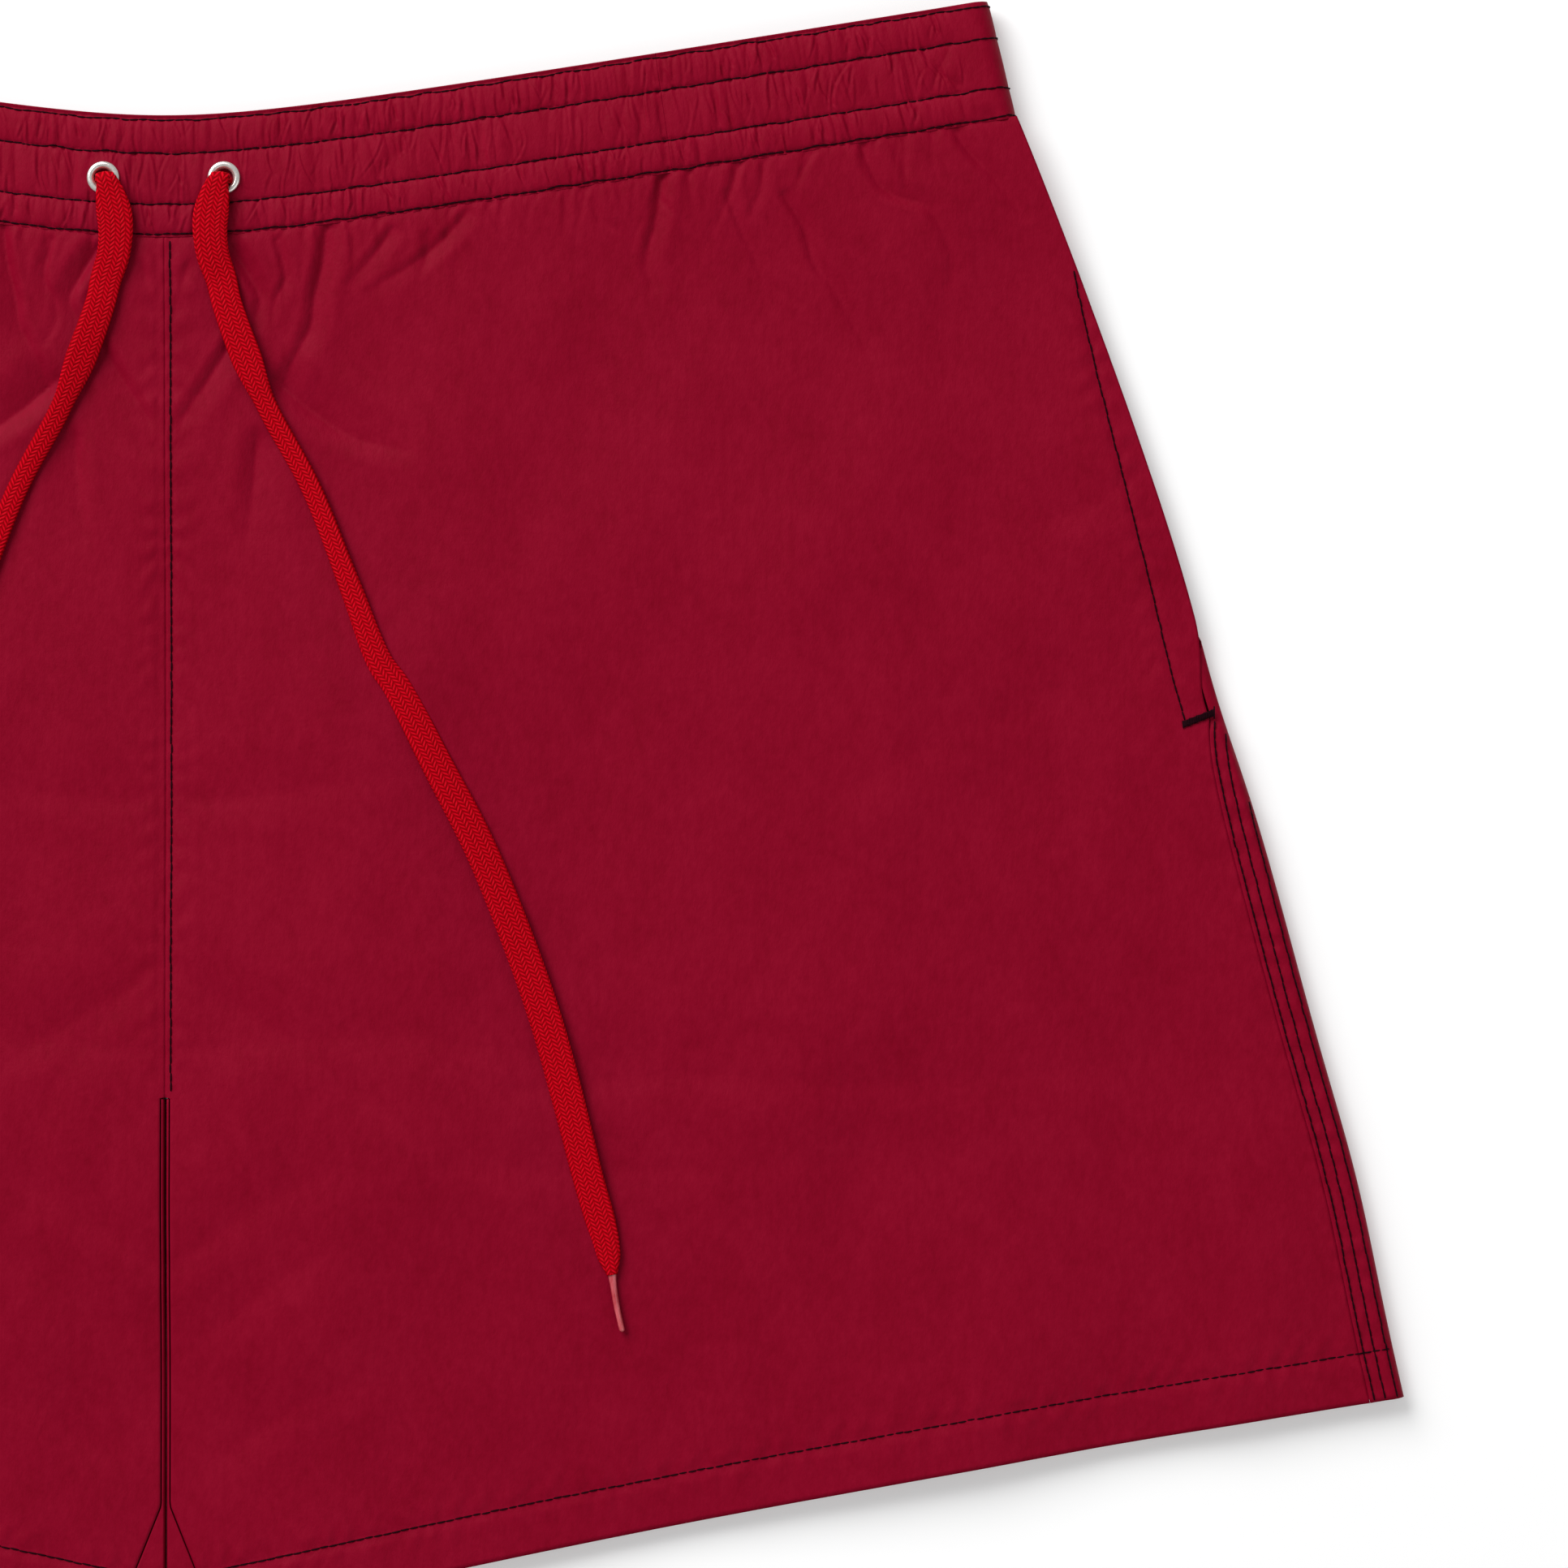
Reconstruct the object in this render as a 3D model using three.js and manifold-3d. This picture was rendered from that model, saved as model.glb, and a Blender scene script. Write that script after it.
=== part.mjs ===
// Drawstring shorts laid flat, face up, as a stack of separate sewn pieces.
// Millimetres. +Z is up through the layers, +Y points to the waist, +X to the viewer's right.
// The origin lies under the middle of the garment, on the surface that it rests on.
//
// Two coordinates place everything on the garment:
//   x   distance from the centre line, and
//   v   0 at the lower edge of the waistband, 1 at the leg hem.
// The waistband is a flattened ring, so it has coordinates of its own: a, d and w (see ringPoint).

import * as THREE from 'three';
import { mergeVertices } from 'three/addons/utils/BufferGeometryUtils.js';
import Module from 'manifold-3d';

const wasm = await Module();
wasm.setup();

// ---- Driving dimensions: outline -------------------------------------------------------------

const WAIST_HALF = 243.6;      // half the flat waist at the top edge, elastic relaxed
const WAIST_SLOPE = 0.1625;    // climb of the waist line towards each side
const WAIST_ROUND = 6;         // how softly that climb begins at the centre
const BAND_DEPTH = 35.8;       // waistband, top edge to lower edge
const BAND_LEAN = 0.232;       // the band widens by this much per unit of depth
const HEM_HALF = 366.5;        // centre line to the outer corner of a leg hem
const OUTSEAM_DROP = 378.2;    // lower edge of the band to the hem, straight down at the side
const HIP_SLOPE = 0.42;        // outward lean of the side where it leaves the band
const LEG_SLOPE = 0.235;       // outward lean of the side where it meets the hem
const HEM_SLOPE = 0.156;       // fall of the hem from its outer corner inwards
const HEM_CURVE = 9.2e-5;      // extra fall per unit of distance squared
const RISE = 290;              // waist edge to crotch at the centre front
const HEM_DEPTH = 15;          // height of the turned-up hem

// ---- Driving dimensions: layers --------------------------------------------------------------

const CLOTH = 0.8;             // one panel with its seam allowances
const GAP = 0.3;               // clearance between pieces that touch
const CASING_WALL = 0.5;       // one ply of the waistband casing
const CHANNEL = 2.2;           // room between the two plies of the casing
const BAND_OPEN = 4.6;         // clear room between the front and the back of the waistband
const BAG_WALL = 0.4;          // one ply of a pocket bag
const POCKET_ROOM = 4.4;       // clear room inside a pocket bag
const EASE = 0.15;             // share of the leg over which the front sinks from band height

// ---- Driving dimensions: seams, folds and pockets --------------------------------------------

const SIDE_FOLD = 2.4;         // reach of the fold round the outer side
const INNER_FOLD = 1.2;        // reach of the fold round the inner leg
const WRAP_START = 4.1;        // back panel showing at the front, just under the pocket
const WRAP_HEM = 10.4;         // the same at the hem
const WRAP_SPREAD = 0.04;      // share of the leg over which the wrap reaches that width
const INSEAM_WRAP = 14;        // back panel showing at the inner leg, at the hem
const INSEAM_START = 0.91;     // where the inseam starts to swing towards the front
const HIP_FLAP = 0.8;          // back panel turned over at the hip, above the pocket
const POCKET_TOP = 0.115;      // mouth of the pocket, upper end
const POCKET_END = 0.468;      // mouth of the pocket, lower end
const BAG_TOP = 0.03;          // pocket bag, upper end
const BAG_END = 0.62;          // pocket bag, lower end
const BAG_REACH = 135;         // how far the bag goes in from the side
const BAG_EDGE = 1.2;          // closed edge of the bag
const BARE = 0.03;             // share of a fold left where the back panel stays flat
const NOTCH = 0.004;           // share of the leg over which an edge steps in or out

// ---- Driving dimensions: elastic, cord, eyelets, threads --------------------------------------

const ROWS = [1.5, 11.3, 26.3, 35.1];   // stitched rows of the waistband, depth from its top edge
const ROW_WEB = 0.8;           // casing stitched solid on each side of a row
const ELASTIC_THICK = 1.2;
const ELASTIC_EASE = 0.5;      // clearance beside an elastic in its channel
const BAND_SEAM = 145;         // centre line to the seam that joins the front and back casing
const CORD_WIDTH = 11;
const CORD_THICK = 2;
const CORD_HELD_THICK = 1;     // the cord where the casing presses it flat
const EYELET_X = 17.8;         // centre line to the middle of an eyelet
const EYELET_DEPTH = 19.2;     // top edge to the middle of an eyelet
const EYELET_BORE = 2.65;      // radius of the hole that the cord passes through
const EYELET_FLANGE = 4.8;     // radius of the flange
const EYELET_HEIGHT = 0.8;     // height of the rolled flange over the cloth
const EYELET_WALL = 0.35;
const BARREL_DEPTH = 1.2;      // how far the barrel reaches down through the ply
const DRILL_DEPTH = 2;         // length of the cutter that opens the ply for the barrel
const WASHER_THICK = 0.3;
const AGLET_RADIUS = 1.1;
const AGLET_LENGTH = 18;
const THREAD_WIDTH = 0.5;
const THREAD_THICK = 0.3;
const CENTRE_STITCH = 1.7;     // centre seam to its topstitch
const POCKET_STITCH = 9.6;     // pocket mouth to its topstitch, at the bottom of the pocket
const POCKET_STITCH_TOP = 3.8; // and at its top
const SIDE_ROWS = [1.4, 4.6, 8.2];      // side seam to its three rows at the hem
const BARTACK = { length: 9.3, width: 1.8, thick: 0.6, inset: 4.6 };

// ---- Values that follow ------------------------------------------------------------------------

const BAND_THICK = CHANNEL + 2 * CASING_WALL;
const FRONT_BAND_Z = BAND_THICK + BAND_OPEN;
const FRONT_LOW = CLOTH + GAP + BAG_WALL + POCKET_ROOM + BAG_WALL + GAP;
const FRONT_HIGH = FRONT_BAND_Z + (BAND_THICK - CLOTH) / 2;
const BAND_HALF = WAIST_HALF + BAND_LEAN * BAND_DEPTH;

const { lerp, clamp, smoothstep } = THREE.MathUtils;

// Height of the waist line over its middle.
function waistLine(x) {
  return Math.hypot(WAIST_ROUND, WAIST_SLOPE * x) - WAIST_ROUND;
}

// Height of the hem line; the outer corner is a fixed drop below the band.
function hemLine(x) {
  const inwards = HEM_HALF - x;
  const corner = waistLine(BAND_HALF) - BAND_DEPTH - OUTSEAM_DROP;
  return corner - HEM_SLOPE * inwards - HEM_CURVE * inwards ** 2;
}

// Distance from the centre line to the outer edge: a cubic that leaves and arrives at set slopes.
function sideLine(v) {
  const third = OUTSEAM_DROP / 3;
  const ends = [BAND_HALF, BAND_HALF + HIP_SLOPE * third, HEM_HALF - LEG_SLOPE * third, HEM_HALF];
  const u = 1 - v;
  return u ** 3 * ends[0] + 3 * u * u * v * ends[1] + 3 * u * v * v * ends[2] + v ** 3 * ends[3];
}

const TOP = waistLine(WAIST_HALF);
const BOTTOM = hemLine(0);
const SHIFT = -(TOP + BOTTOM) / 2;      // moves the middle of the garment to y = 0
const CROTCH = (RISE - BAND_DEPTH) / (-hemLine(0) - BAND_DEPTH);

// Place on the garment below the waistband.
function legPoint(x, v, z) {
  const share = x / sideLine(v);
  const high = waistLine(share * BAND_HALF) - BAND_DEPTH - GAP;
  return [x, SHIFT + lerp(high, hemLine(share * HEM_HALF), v), z];
}

// Underside of the front layer.
function frontZ(v) {
  return lerp(FRONT_HIGH, FRONT_LOW, smoothstep(v, 0, EASE));
}

// Distance of the side seam from the outer edge, below the pocket.
function sideWrap(v) {
  const spread = 1 - Math.exp(-Math.max(0, v - POCKET_END) / WRAP_SPREAD);
  return lerp(WRAP_START, WRAP_HEM, spread);
}

// Distance of the inseam from the fold of the inner leg.
function inseamWrap(v) {
  const share = clamp((v - INSEAM_START) / (1 - INSEAM_START), 0, 1);
  return GAP + (INSEAM_WRAP - GAP) * share;
}

// Place in the flattened ring of the waistband. a runs once round it: 0 to 1 along the front from
// left to right, 1 to 2 round the right side, 2 to 3 along the back and 3 to 4 round the left side.
// d is the depth below the top edge, and w goes from 0 inside the ring to BAND_THICK outside.
function ringPoint(a, d, w) {
  const turn = (BAND_THICK + BAND_OPEN) / 2;
  const straight = WAIST_HALF + BAND_LEAN * d - turn - BAND_THICK / 2;
  const radius = turn - BAND_THICK / 2 + w;
  const leg = Math.floor(((a % 4) + 4) % 4);
  const part = a - Math.floor(a);
  const side = leg < 2 ? 1 : -1;
  let x = 0;
  let z = 0;
  if (leg % 2 === 0) {
    x = side * lerp(-straight, straight, part);
    z = side * radius;
  } else {
    const angle = Math.PI * part;
    x = side * (straight + radius * Math.sin(angle));
    z = side * radius * Math.cos(angle);
  }
  return [x, SHIFT + waistLine(x) - d, turn + BAND_THICK / 2 + z];
}

// The a of a place on the front of the ring.
function ringAt(x, d) {
  const turn = (BAND_THICK + BAND_OPEN) / 2;
  const straight = WAIST_HALF + BAND_LEAN * d - turn - BAND_THICK / 2;
  return (x / straight + 1) / 2;
}

// ---- Mesh helpers ------------------------------------------------------------------------------

function steps(from, to, count) {
  return Array.from({ length: count + 1 }, (_, i) => lerp(from, to, i / count));
}

function turnOver(geometry) {
  const index = geometry.index.array;
  for (let i = 0; i < index.length; i += 3) {
    [index[i + 1], index[i + 2]] = [index[i + 2], index[i + 1]];
  }
}

// Welds a geometry and turns its faces outwards.
function close(geometry) {
  geometry.deleteAttribute('normal');
  geometry.deleteAttribute('uv');
  const welded = mergeVertices(geometry, 1e-4);
  const p = welded.attributes.position;
  const index = welded.index;
  const corners = [new THREE.Vector3(), new THREE.Vector3(), new THREE.Vector3()];
  let volume = 0;
  for (let i = 0; i < index.count; i += 3) {
    corners.forEach((corner, j) => corner.fromBufferAttribute(p, index.getX(i + j)));
    volume += corners[0].dot(corners[1].clone().cross(corners[2]));
  }
  if (volume < 0) turnOver(welded);
  return welded;
}

// A block whose lattice of stops is bent into shape by place(u, v, w).
function block(us, vs, ws, place) {
  const geometry = new THREE.BoxGeometry(1, 1, 1, us.length - 1, vs.length - 1, ws.length - 1);
  const p = geometry.attributes.position;
  const stop = (list, share) => list[Math.round((share + 0.5) * (list.length - 1))];
  for (let i = 0; i < p.count; i += 1) {
    const at = place(stop(us, p.getX(i)), stop(vs, p.getY(i)), stop(ws, p.getZ(i)));
    p.setXYZ(i, ...at);
  }
  return close(geometry);
}

// A closed band of rectangular section, through every stop of the waistband ring.
function ringBand(stops, ds, ws) {
  const geometry = new THREE.TorusGeometry(2, 1, 4, stops.length);
  const p = geometry.attributes.position;
  const corners = [[0, 0], [1, 0], [1, 1], [0, 1]];
  for (let j = 0; j <= 4; j += 1) {
    const [k, l] = corners[j % 4];
    for (let i = 0; i <= stops.length; i += 1) {
      p.setXYZ(j * (stops.length + 1) + i, ...ringPoint(stops[i % stops.length], ds[k], ws[l]));
    }
  }
  return close(geometry);
}

function toSolid(geometry) {
  return new wasm.Manifold(new wasm.Mesh({
    numProp: 3,
    vertProperties: new Float32Array(geometry.attributes.position.array),
    triVerts: new Uint32Array(geometry.index.array),
  }));
}

function toGeometry(solid) {
  const mesh = solid.getMesh();
  const geometry = new THREE.BufferGeometry();
  geometry.setAttribute('position', new THREE.BufferAttribute(mesh.vertProperties, 3));
  geometry.setIndex(new THREE.BufferAttribute(mesh.triVerts, 1));
  return geometry;
}

function mirrored(geometry) {
  return close(geometry.clone().scale(-1, 1, 1));
}

// ---- Materials ---------------------------------------------------------------------------------

function material(color, roughness, metalness = 0) {
  return new THREE.MeshStandardMaterial({ color, roughness, metalness, side: THREE.DoubleSide });
}

const fabric = material(0x850c25, 0.75);
const lining = material(0x6f0b20, 0.85);
const elasticWhite = material(0xd8d4cc, 0.9);
const cordRed = material(0xb20616, 0.8);
const thread = material(0x1a0a0e, 0.7);
const nickel = material(0xc9c9cc, 0.22, 1);
const clearRed = material(0xb84a52, 0.25);

const shorts = new THREE.Group();

function add(name, geometry, look) {
  const mesh = new THREE.Mesh(geometry, look.clone());
  mesh.name = name;
  mesh.geometry.computeVertexNormals();
  shorts.add(mesh);
}

// A piece and its mirror image on the other side of the centre line.
function addPair(name, geometry, look) {
  add(`${name}_right`, geometry, look);
  add(`${name}_left`, mirrored(geometry), look);
}

// ---- Panels ------------------------------------------------------------------------------------

// Stops down the leg, with a close pair wherever an edge steps in or out.
function legStops() {
  const stops = [...steps(0, POCKET_TOP - NOTCH, 3), ...steps(POCKET_TOP + NOTCH, POCKET_END - NOTCH, 5)];
  stops.push(POCKET_TOP, POCKET_END, CROTCH - NOTCH, CROTCH, CROTCH + NOTCH, INSEAM_START);
  stops.push(...steps(POCKET_END + NOTCH, 1, 7));
  return stops.sort((p, q) => p - q).filter((v, i, all) => i === 0 || v - all[i - 1] > NOTCH / 4);
}

// Stops across a panel, closer together where the waist line bends most.
const ACROSS = steps(0, 1, 8).map((u) => u ** 1.5);

const innerFoldX = GAP / 2 + INNER_FOLD + CLOTH / 2;
const innerEdgeX = (v) => (v > CROTCH ? innerFoldX : GAP);
const sideFoldX = (v) => sideLine(v) - SIDE_FOLD - CLOTH / 2;

// The front panel ends at the pocket mouth, and above and below it at the side seam.
function frontPanel() {
  const inner = (v) => (v < CROTCH ? GAP / 2 : innerFoldX + inseamWrap(v) + GAP);
  const outer = (v) => {
    if (v <= POCKET_TOP) return sideFoldX(v) - HIP_FLAP - GAP;
    if (v < POCKET_END) return sideLine(v);
    return sideLine(v) - sideWrap(v) - GAP;
  };
  return block(ACROSS, legStops(), [0, CLOTH], (u, v, w) => {
    const x = lerp(inner(v), outer(v), u);
    return legPoint(x, v, frontZ(v) + w);
  });
}

// One fold of the back panel, as an offset from the fold's axis. q runs 0 to 1 round the fold and
// 1 to 2 along the flap that lies on the front; wrap is how much of the fold there is.
function foldSection(q, v, w, reach, wrap, flap) {
  const rise = frontZ(v) / 2;
  const last = Math.PI * (wrap - 0.5);
  const angle = q < 1 ? lerp(-Math.PI / 2, last, q) : last;
  const along = Math.max(0, q - 1) * flap * wrap;
  const out = (reach + w) * Math.cos(angle) - along * Math.sin(angle);
  const up = (rise + w) * Math.sin(angle) + along * Math.cos(angle);
  return [out, CLOTH / 2 + rise + up];
}

// The back panel lies on the ground, folds up round the side and the inner leg, and shows as a
// flap on the front. At the pocket mouth, and above the crotch, it stays flat.
function backPanel() {
  const sideWrapShare = (v) => (v < POCKET_TOP || v > POCKET_END ? 1 : BARE);
  const sideFlap = (v) => (v < POCKET_END ? HIP_FLAP : sideWrap(v) - SIDE_FOLD - CLOTH / 2);
  const innerWrapShare = (v) => (v > CROTCH ? 1 : BARE);
  const us = [-2, ...steps(-1, 0, 4), ...ACROSS.slice(1, -1), ...steps(1, 2, 4), 3];
  return block(us, legStops(), [-CLOTH / 2, CLOTH / 2], (u, v, w) => {
    if (u <= 0) {
      const [out, z] = foldSection(-u, v, w, INNER_FOLD, innerWrapShare(v), inseamWrap(v));
      return legPoint(innerEdgeX(v) - out, v, z);
    }
    if (u >= 1) {
      const [out, z] = foldSection(u - 1, v, w, SIDE_FOLD, sideWrapShare(v), sideFlap(v));
      return legPoint(sideFoldX(v) + out, v, z);
    }
    return legPoint(lerp(innerEdgeX(v), sideFoldX(v), u), v, CLOTH / 2 - w);
  });
}

// A pocket bag: a flat pouch, open along the pocket mouth.
function pocketBag() {
  const low = CLOTH + GAP;
  const high = low + 2 * BAG_WALL + POCKET_ROOM;
  const edge = (v) => sideFoldX(v) - (v > POCKET_END - NOTCH ? sideWrap(v) : HIP_FLAP) - GAP;
  const round = (v) => BAG_REACH * Math.sqrt(1 - clamp((v - 0.5) / (BAG_END - 0.5) * 0.8, 0, 1) ** 2);
  const shell = block(steps(0, 1, 4), steps(BAG_TOP, BAG_END, 12), [low, high], (u, v, w) => (
    legPoint(edge(v) - round(v) * (1 - u), v, w)));
  const skin = BAG_EDGE / OUTSEAM_DROP;
  const hollow = block(steps(0, 1, 4), steps(POCKET_TOP + NOTCH, BAG_END - skin, 12),
    [low + BAG_WALL, high - BAG_WALL], (u, v, w) => {
      const inner = edge(v) - round(v) + BAG_EDGE;
      const outer = v > POCKET_END - 2 * NOTCH ? edge(v) - BAG_EDGE : edge(v) + SIDE_FOLD;
      return legPoint(lerp(inner, outer, u), v, w);
    });
  return toGeometry(toSolid(shell).subtract(toSolid(hollow)));
}

addPair('back_panel', backPanel(), fabric);
addPair('front_panel', frontPanel(), fabric);
addPair('pocket_bag', pocketBag(), lining);

// ---- Waistband ---------------------------------------------------------------------------------

const channels = ROWS.slice(1).map((row, i) => [ROWS[i] + ROW_WEB, row - ROW_WEB]);
const [upperChannel, cordChannel, lowerChannel] = channels;

// Stops round the ring: even along the straights and round the turns.
function ringStops(from, to) {
  const all = [];
  for (let leg = 0; leg < 5; leg += 1) {
    all.push(...steps(leg, leg + 1, leg % 2 === 0 ? 20 : 6).slice(0, -1));
  }
  const inside = all.filter((a) => a > from + 0.01 && a < to - 0.01);
  return [from, ...inside, to];
}

const wholeRing = [...steps(0, 1, 20), ...steps(1, 2, 6), ...steps(2, 3, 20), ...steps(3, 4, 6)]
  .filter((a, i, all) => a < 4 && a !== all[i - 1]);

// A stretch of casing: two plies stitched together in rows, with a channel between rows.
function casing(stops) {
  const ds = [0, BAND_DEPTH];
  let solid = toSolid(block(stops, ds, [0, BAND_THICK], ringPoint));
  const past = 0.02;
  const long = [stops[0] - past, ...stops.slice(1, -1), stops[stops.length - 1] + past];
  channels.forEach((channel) => {
    const room = block(long, channel, [CASING_WALL, BAND_THICK - CASING_WALL], ringPoint);
    solid = solid.subtract(toSolid(room));
  });
  return solid;
}

function eyeletPlace(side, w) {
  return ringPoint(ringAt(side * EYELET_X, EYELET_DEPTH), EYELET_DEPTH, w);
}

// The front casing, with a hole in its outer ply for each eyelet.
function frontCasing() {
  const from = ringAt(-BAND_SEAM + GAP / 2, 0);
  let solid = casing(ringStops(from, 1 - from));
  [-1, 1].forEach((side) => {
    const drill = new THREE.CylinderGeometry(
      EYELET_BORE + EYELET_WALL + GAP, EYELET_BORE + EYELET_WALL + GAP, DRILL_DEPTH, 20);
    drill.rotateX(Math.PI / 2);
    drill.translate(...eyeletPlace(side, BAND_THICK - CASING_WALL / 2));
    solid = solid.subtract(toSolid(close(drill)));
  });
  return toGeometry(solid);
}

function backCasing() {
  const from = ringAt(BAND_SEAM + GAP / 2, 0);
  return toGeometry(casing(ringStops(from, 5 - from)));
}

function elastic(channel) {
  const inner = (BAND_THICK - ELASTIC_THICK) / 2;
  const ds = [channel[0] + ELASTIC_EASE, channel[1] - ELASTIC_EASE];
  return ringBand(wholeRing, ds, [inner, inner + ELASTIC_THICK]);
}

add('waistband_front', frontCasing(), fabric);
add('waistband_back', backCasing(), fabric);
add('elastic_upper', elastic(upperChannel), elasticWhite);
add('elastic_lower', elastic(lowerChannel), elasticWhite);

// ---- Drawcord ----------------------------------------------------------------------------------

// The held run: from one eyelet round the back of the waist to the other.
function heldCord() {
  const clear = EYELET_X + EYELET_BORE + GAP;
  const from = ringAt(clear, EYELET_DEPTH);
  const inner = CASING_WALL + GAP;
  const ds = [EYELET_DEPTH - CORD_WIDTH / 2, EYELET_DEPTH + CORD_WIDTH / 2];
  return block(ringStops(from, 5 - from), ds, [inner, inner + CORD_HELD_THICK], ringPoint);
}

// Heights at which the free cord's middle lies over the flange, the band and the panel.
const OVER_FLANGE = FRONT_BAND_Z + BAND_THICK + GAP + EYELET_HEIGHT + GAP + CORD_THICK / 2;
const OVER_BAND = FRONT_BAND_Z + BAND_THICK + 2 * GAP + THREAD_THICK + CORD_THICK / 2;
const ON_PANEL = FRONT_LOW + CLOTH + GAP + CORD_THICK / 2;
const PANEL_TOP_ROUTE = FRONT_HIGH + CLOTH + GAP + CORD_THICK / 2;
const STEP_DOWN = 1;           // how much higher the cord rides just under the waistband

// Route of the right free end: x, y from the middle of the waist edge, and height.
const CORD_ROUTE = [
  [17.0, -18.0, OVER_FLANGE], [15.2, -24.5, OVER_FLANGE], [13.9, -32.6, OVER_BAND],
  [14.6, -41.0, PANEL_TOP_ROUTE + STEP_DOWN], [17.0, -48.5, PANEL_TOP_ROUTE], [18.7, -55.7, PANEL_TOP_ROUTE],
  [26.4, -76.8, PANEL_TOP_ROUTE - 0.6], [31.3, -87.8, ON_PANEL + 0.8], [43.2, -109.7, ON_PANEL + 0.2],
  [55.1, -139.7, ON_PANEL], [63.4, -161.0, ON_PANEL], [68.6, -168.7, ON_PANEL],
  [80.6, -191.8, ON_PANEL], [92.6, -215.0, ON_PANEL], [103.4, -241.0, ON_PANEL],
  [112.6, -267.1, ON_PANEL], [119.8, -293.0, ON_PANEL], [125.0, -313.4, ON_PANEL],
  [130.3, -332.2, ON_PANEL], [132.2, -342.2, ON_PANEL],
];
const CORD_STEPS = 40;

function cordCurve() {
  const points = CORD_ROUTE.map(([x, y, z]) => new THREE.Vector3(x, SHIFT + y, z));
  return new THREE.CatmullRomCurve3(points, false, 'centripetal');
}

// Flat oval section, eight sides; its short way stands up when the route lies flat.
function cordSection() {
  const outline = [];
  for (let i = 0; i < 8; i += 1) {
    const angle = (i + 0.5) * Math.PI / 4;
    const square = Math.cos(Math.PI / 8);
    outline.push(new THREE.Vector2(
      CORD_THICK / 2 * Math.cos(angle) / square, CORD_WIDTH / 2 * Math.sin(angle) / square));
  }
  return new THREE.Shape(outline);
}

// The free end, with the bunched throat that comes up through the eyelet.
function freeCord() {
  const tube = new THREE.ExtrudeGeometry(cordSection(), {
    steps: CORD_STEPS, extrudePath: cordCurve(), bevelEnabled: false,
  });
  const foot = eyeletPlace(1, CASING_WALL + GAP);
  const height = OVER_FLANGE - foot[2];
  const radius = EYELET_BORE - GAP;
  const throat = new THREE.CylinderGeometry(radius, radius, height, 12);
  throat.rotateX(Math.PI / 2);
  throat.translate(foot[0], foot[1], foot[2] + height / 2);
  return toGeometry(toSolid(close(tube)).add(toSolid(close(throat))));
}

// The hard tip, in line with the end of the cord.
function aglet() {
  const tip = AGLET_RADIUS * 0.7;
  const profile = [[0, 0], [AGLET_RADIUS, 0], [AGLET_RADIUS, AGLET_LENGTH * 0.9], [tip, AGLET_LENGTH],
    [0, AGLET_LENGTH]].map(([r, h]) => new THREE.Vector2(r, h));
  const shape = close(new THREE.LatheGeometry(profile, 12));
  const curve = cordCurve();
  const along = curve.getTangent(1).setZ(0).normalize();
  const start = curve.getPoint(1).addScaledVector(along, GAP);
  const turn = new THREE.Quaternion().setFromUnitVectors(new THREE.Vector3(0, 1, 0), along);
  shape.applyQuaternion(turn);
  shape.translate(start.x, start.y, ON_PANEL - CORD_THICK / 2 + AGLET_RADIUS);
  return shape;
}

add('drawcord_held', heldCord(), cordRed);
addPair('drawcord_free', freeCord(), cordRed);
addPair('aglet', aglet(), clearRed);

// ---- Eyelets -----------------------------------------------------------------------------------

function lathe(profile, segments) {
  const points = [...profile, profile[0]].map(([r, h]) => new THREE.Vector2(r, h));
  const shape = new THREE.LatheGeometry(points, segments);
  shape.rotateX(Math.PI / 2);
  return close(shape);
}

// Rolled flange outside the casing and a barrel down through its outer ply.
function eyelet() {
  const bore = EYELET_BORE;
  const barrel = bore + EYELET_WALL;
  const shape = lathe([
    [bore, -BARREL_DEPTH], [barrel, -BARREL_DEPTH], [barrel, GAP], [EYELET_FLANGE, GAP],
    [EYELET_FLANGE, GAP + EYELET_HEIGHT / 2], [EYELET_FLANGE - 0.5, GAP + EYELET_HEIGHT],
    [barrel, GAP + EYELET_HEIGHT], [bore, GAP + EYELET_HEIGHT / 2]], 18);
  shape.translate(...eyeletPlace(1, BAND_THICK));
  return shape;
}

// Flat ring that the barrel is set against, under the ply.
function washer() {
  const inner = EYELET_BORE + EYELET_WALL + GAP;
  const top = -CASING_WALL - GAP;
  const shape = lathe([[inner, top - WASHER_THICK], [EYELET_FLANGE, top - WASHER_THICK],
    [EYELET_FLANGE, top], [inner, top]], 18);
  shape.translate(...eyeletPlace(1, BAND_THICK));
  return shape;
}

addPair('eyelet', eyelet(), nickel);
addPair('eyelet_washer', washer(), nickel);

// ---- Stitching ---------------------------------------------------------------------------------

// A thread laid on the face of the cloth along place(t), t from 0 to 1.
function laidThread(count, place) {
  const near = 1e-3;
  return block(steps(0, 1, count), [-0.5, 0.5], [0, THREAD_THICK], (t, across, w) => {
    const [x, y, z] = place(t);
    const before = place(Math.max(0, t - near));
    const after = place(Math.min(1, t + near));
    const dx = after[0] - before[0];
    const dy = after[1] - before[1];
    const offset = across * THREAD_WIDTH / Math.hypot(dx, dy);
    return [x - dy * offset, y + dx * offset, z + GAP + w];
  });
}

// A row of the waistband: over the front and partly round each side.
function waistRow(depth) {
  const half = THREAD_WIDTH / 2;
  const low = BAND_THICK + GAP;
  const stops = [...steps(-0.6, 0, 4).slice(0, -1), ...steps(0, 1, 20), ...steps(1, 1.6, 4).slice(1)];
  return block(stops, [depth - half, depth + half], [low, low + THREAD_THICK], ringPoint);
}

ROWS.forEach((depth, i) => add(`waist_stitch_${i + 1}`, waistRow(depth), thread));

const frontTop = (v) => frontZ(v) + CLOTH;
const seamX = (v) => sideLine(v) - sideWrap(v);

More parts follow.
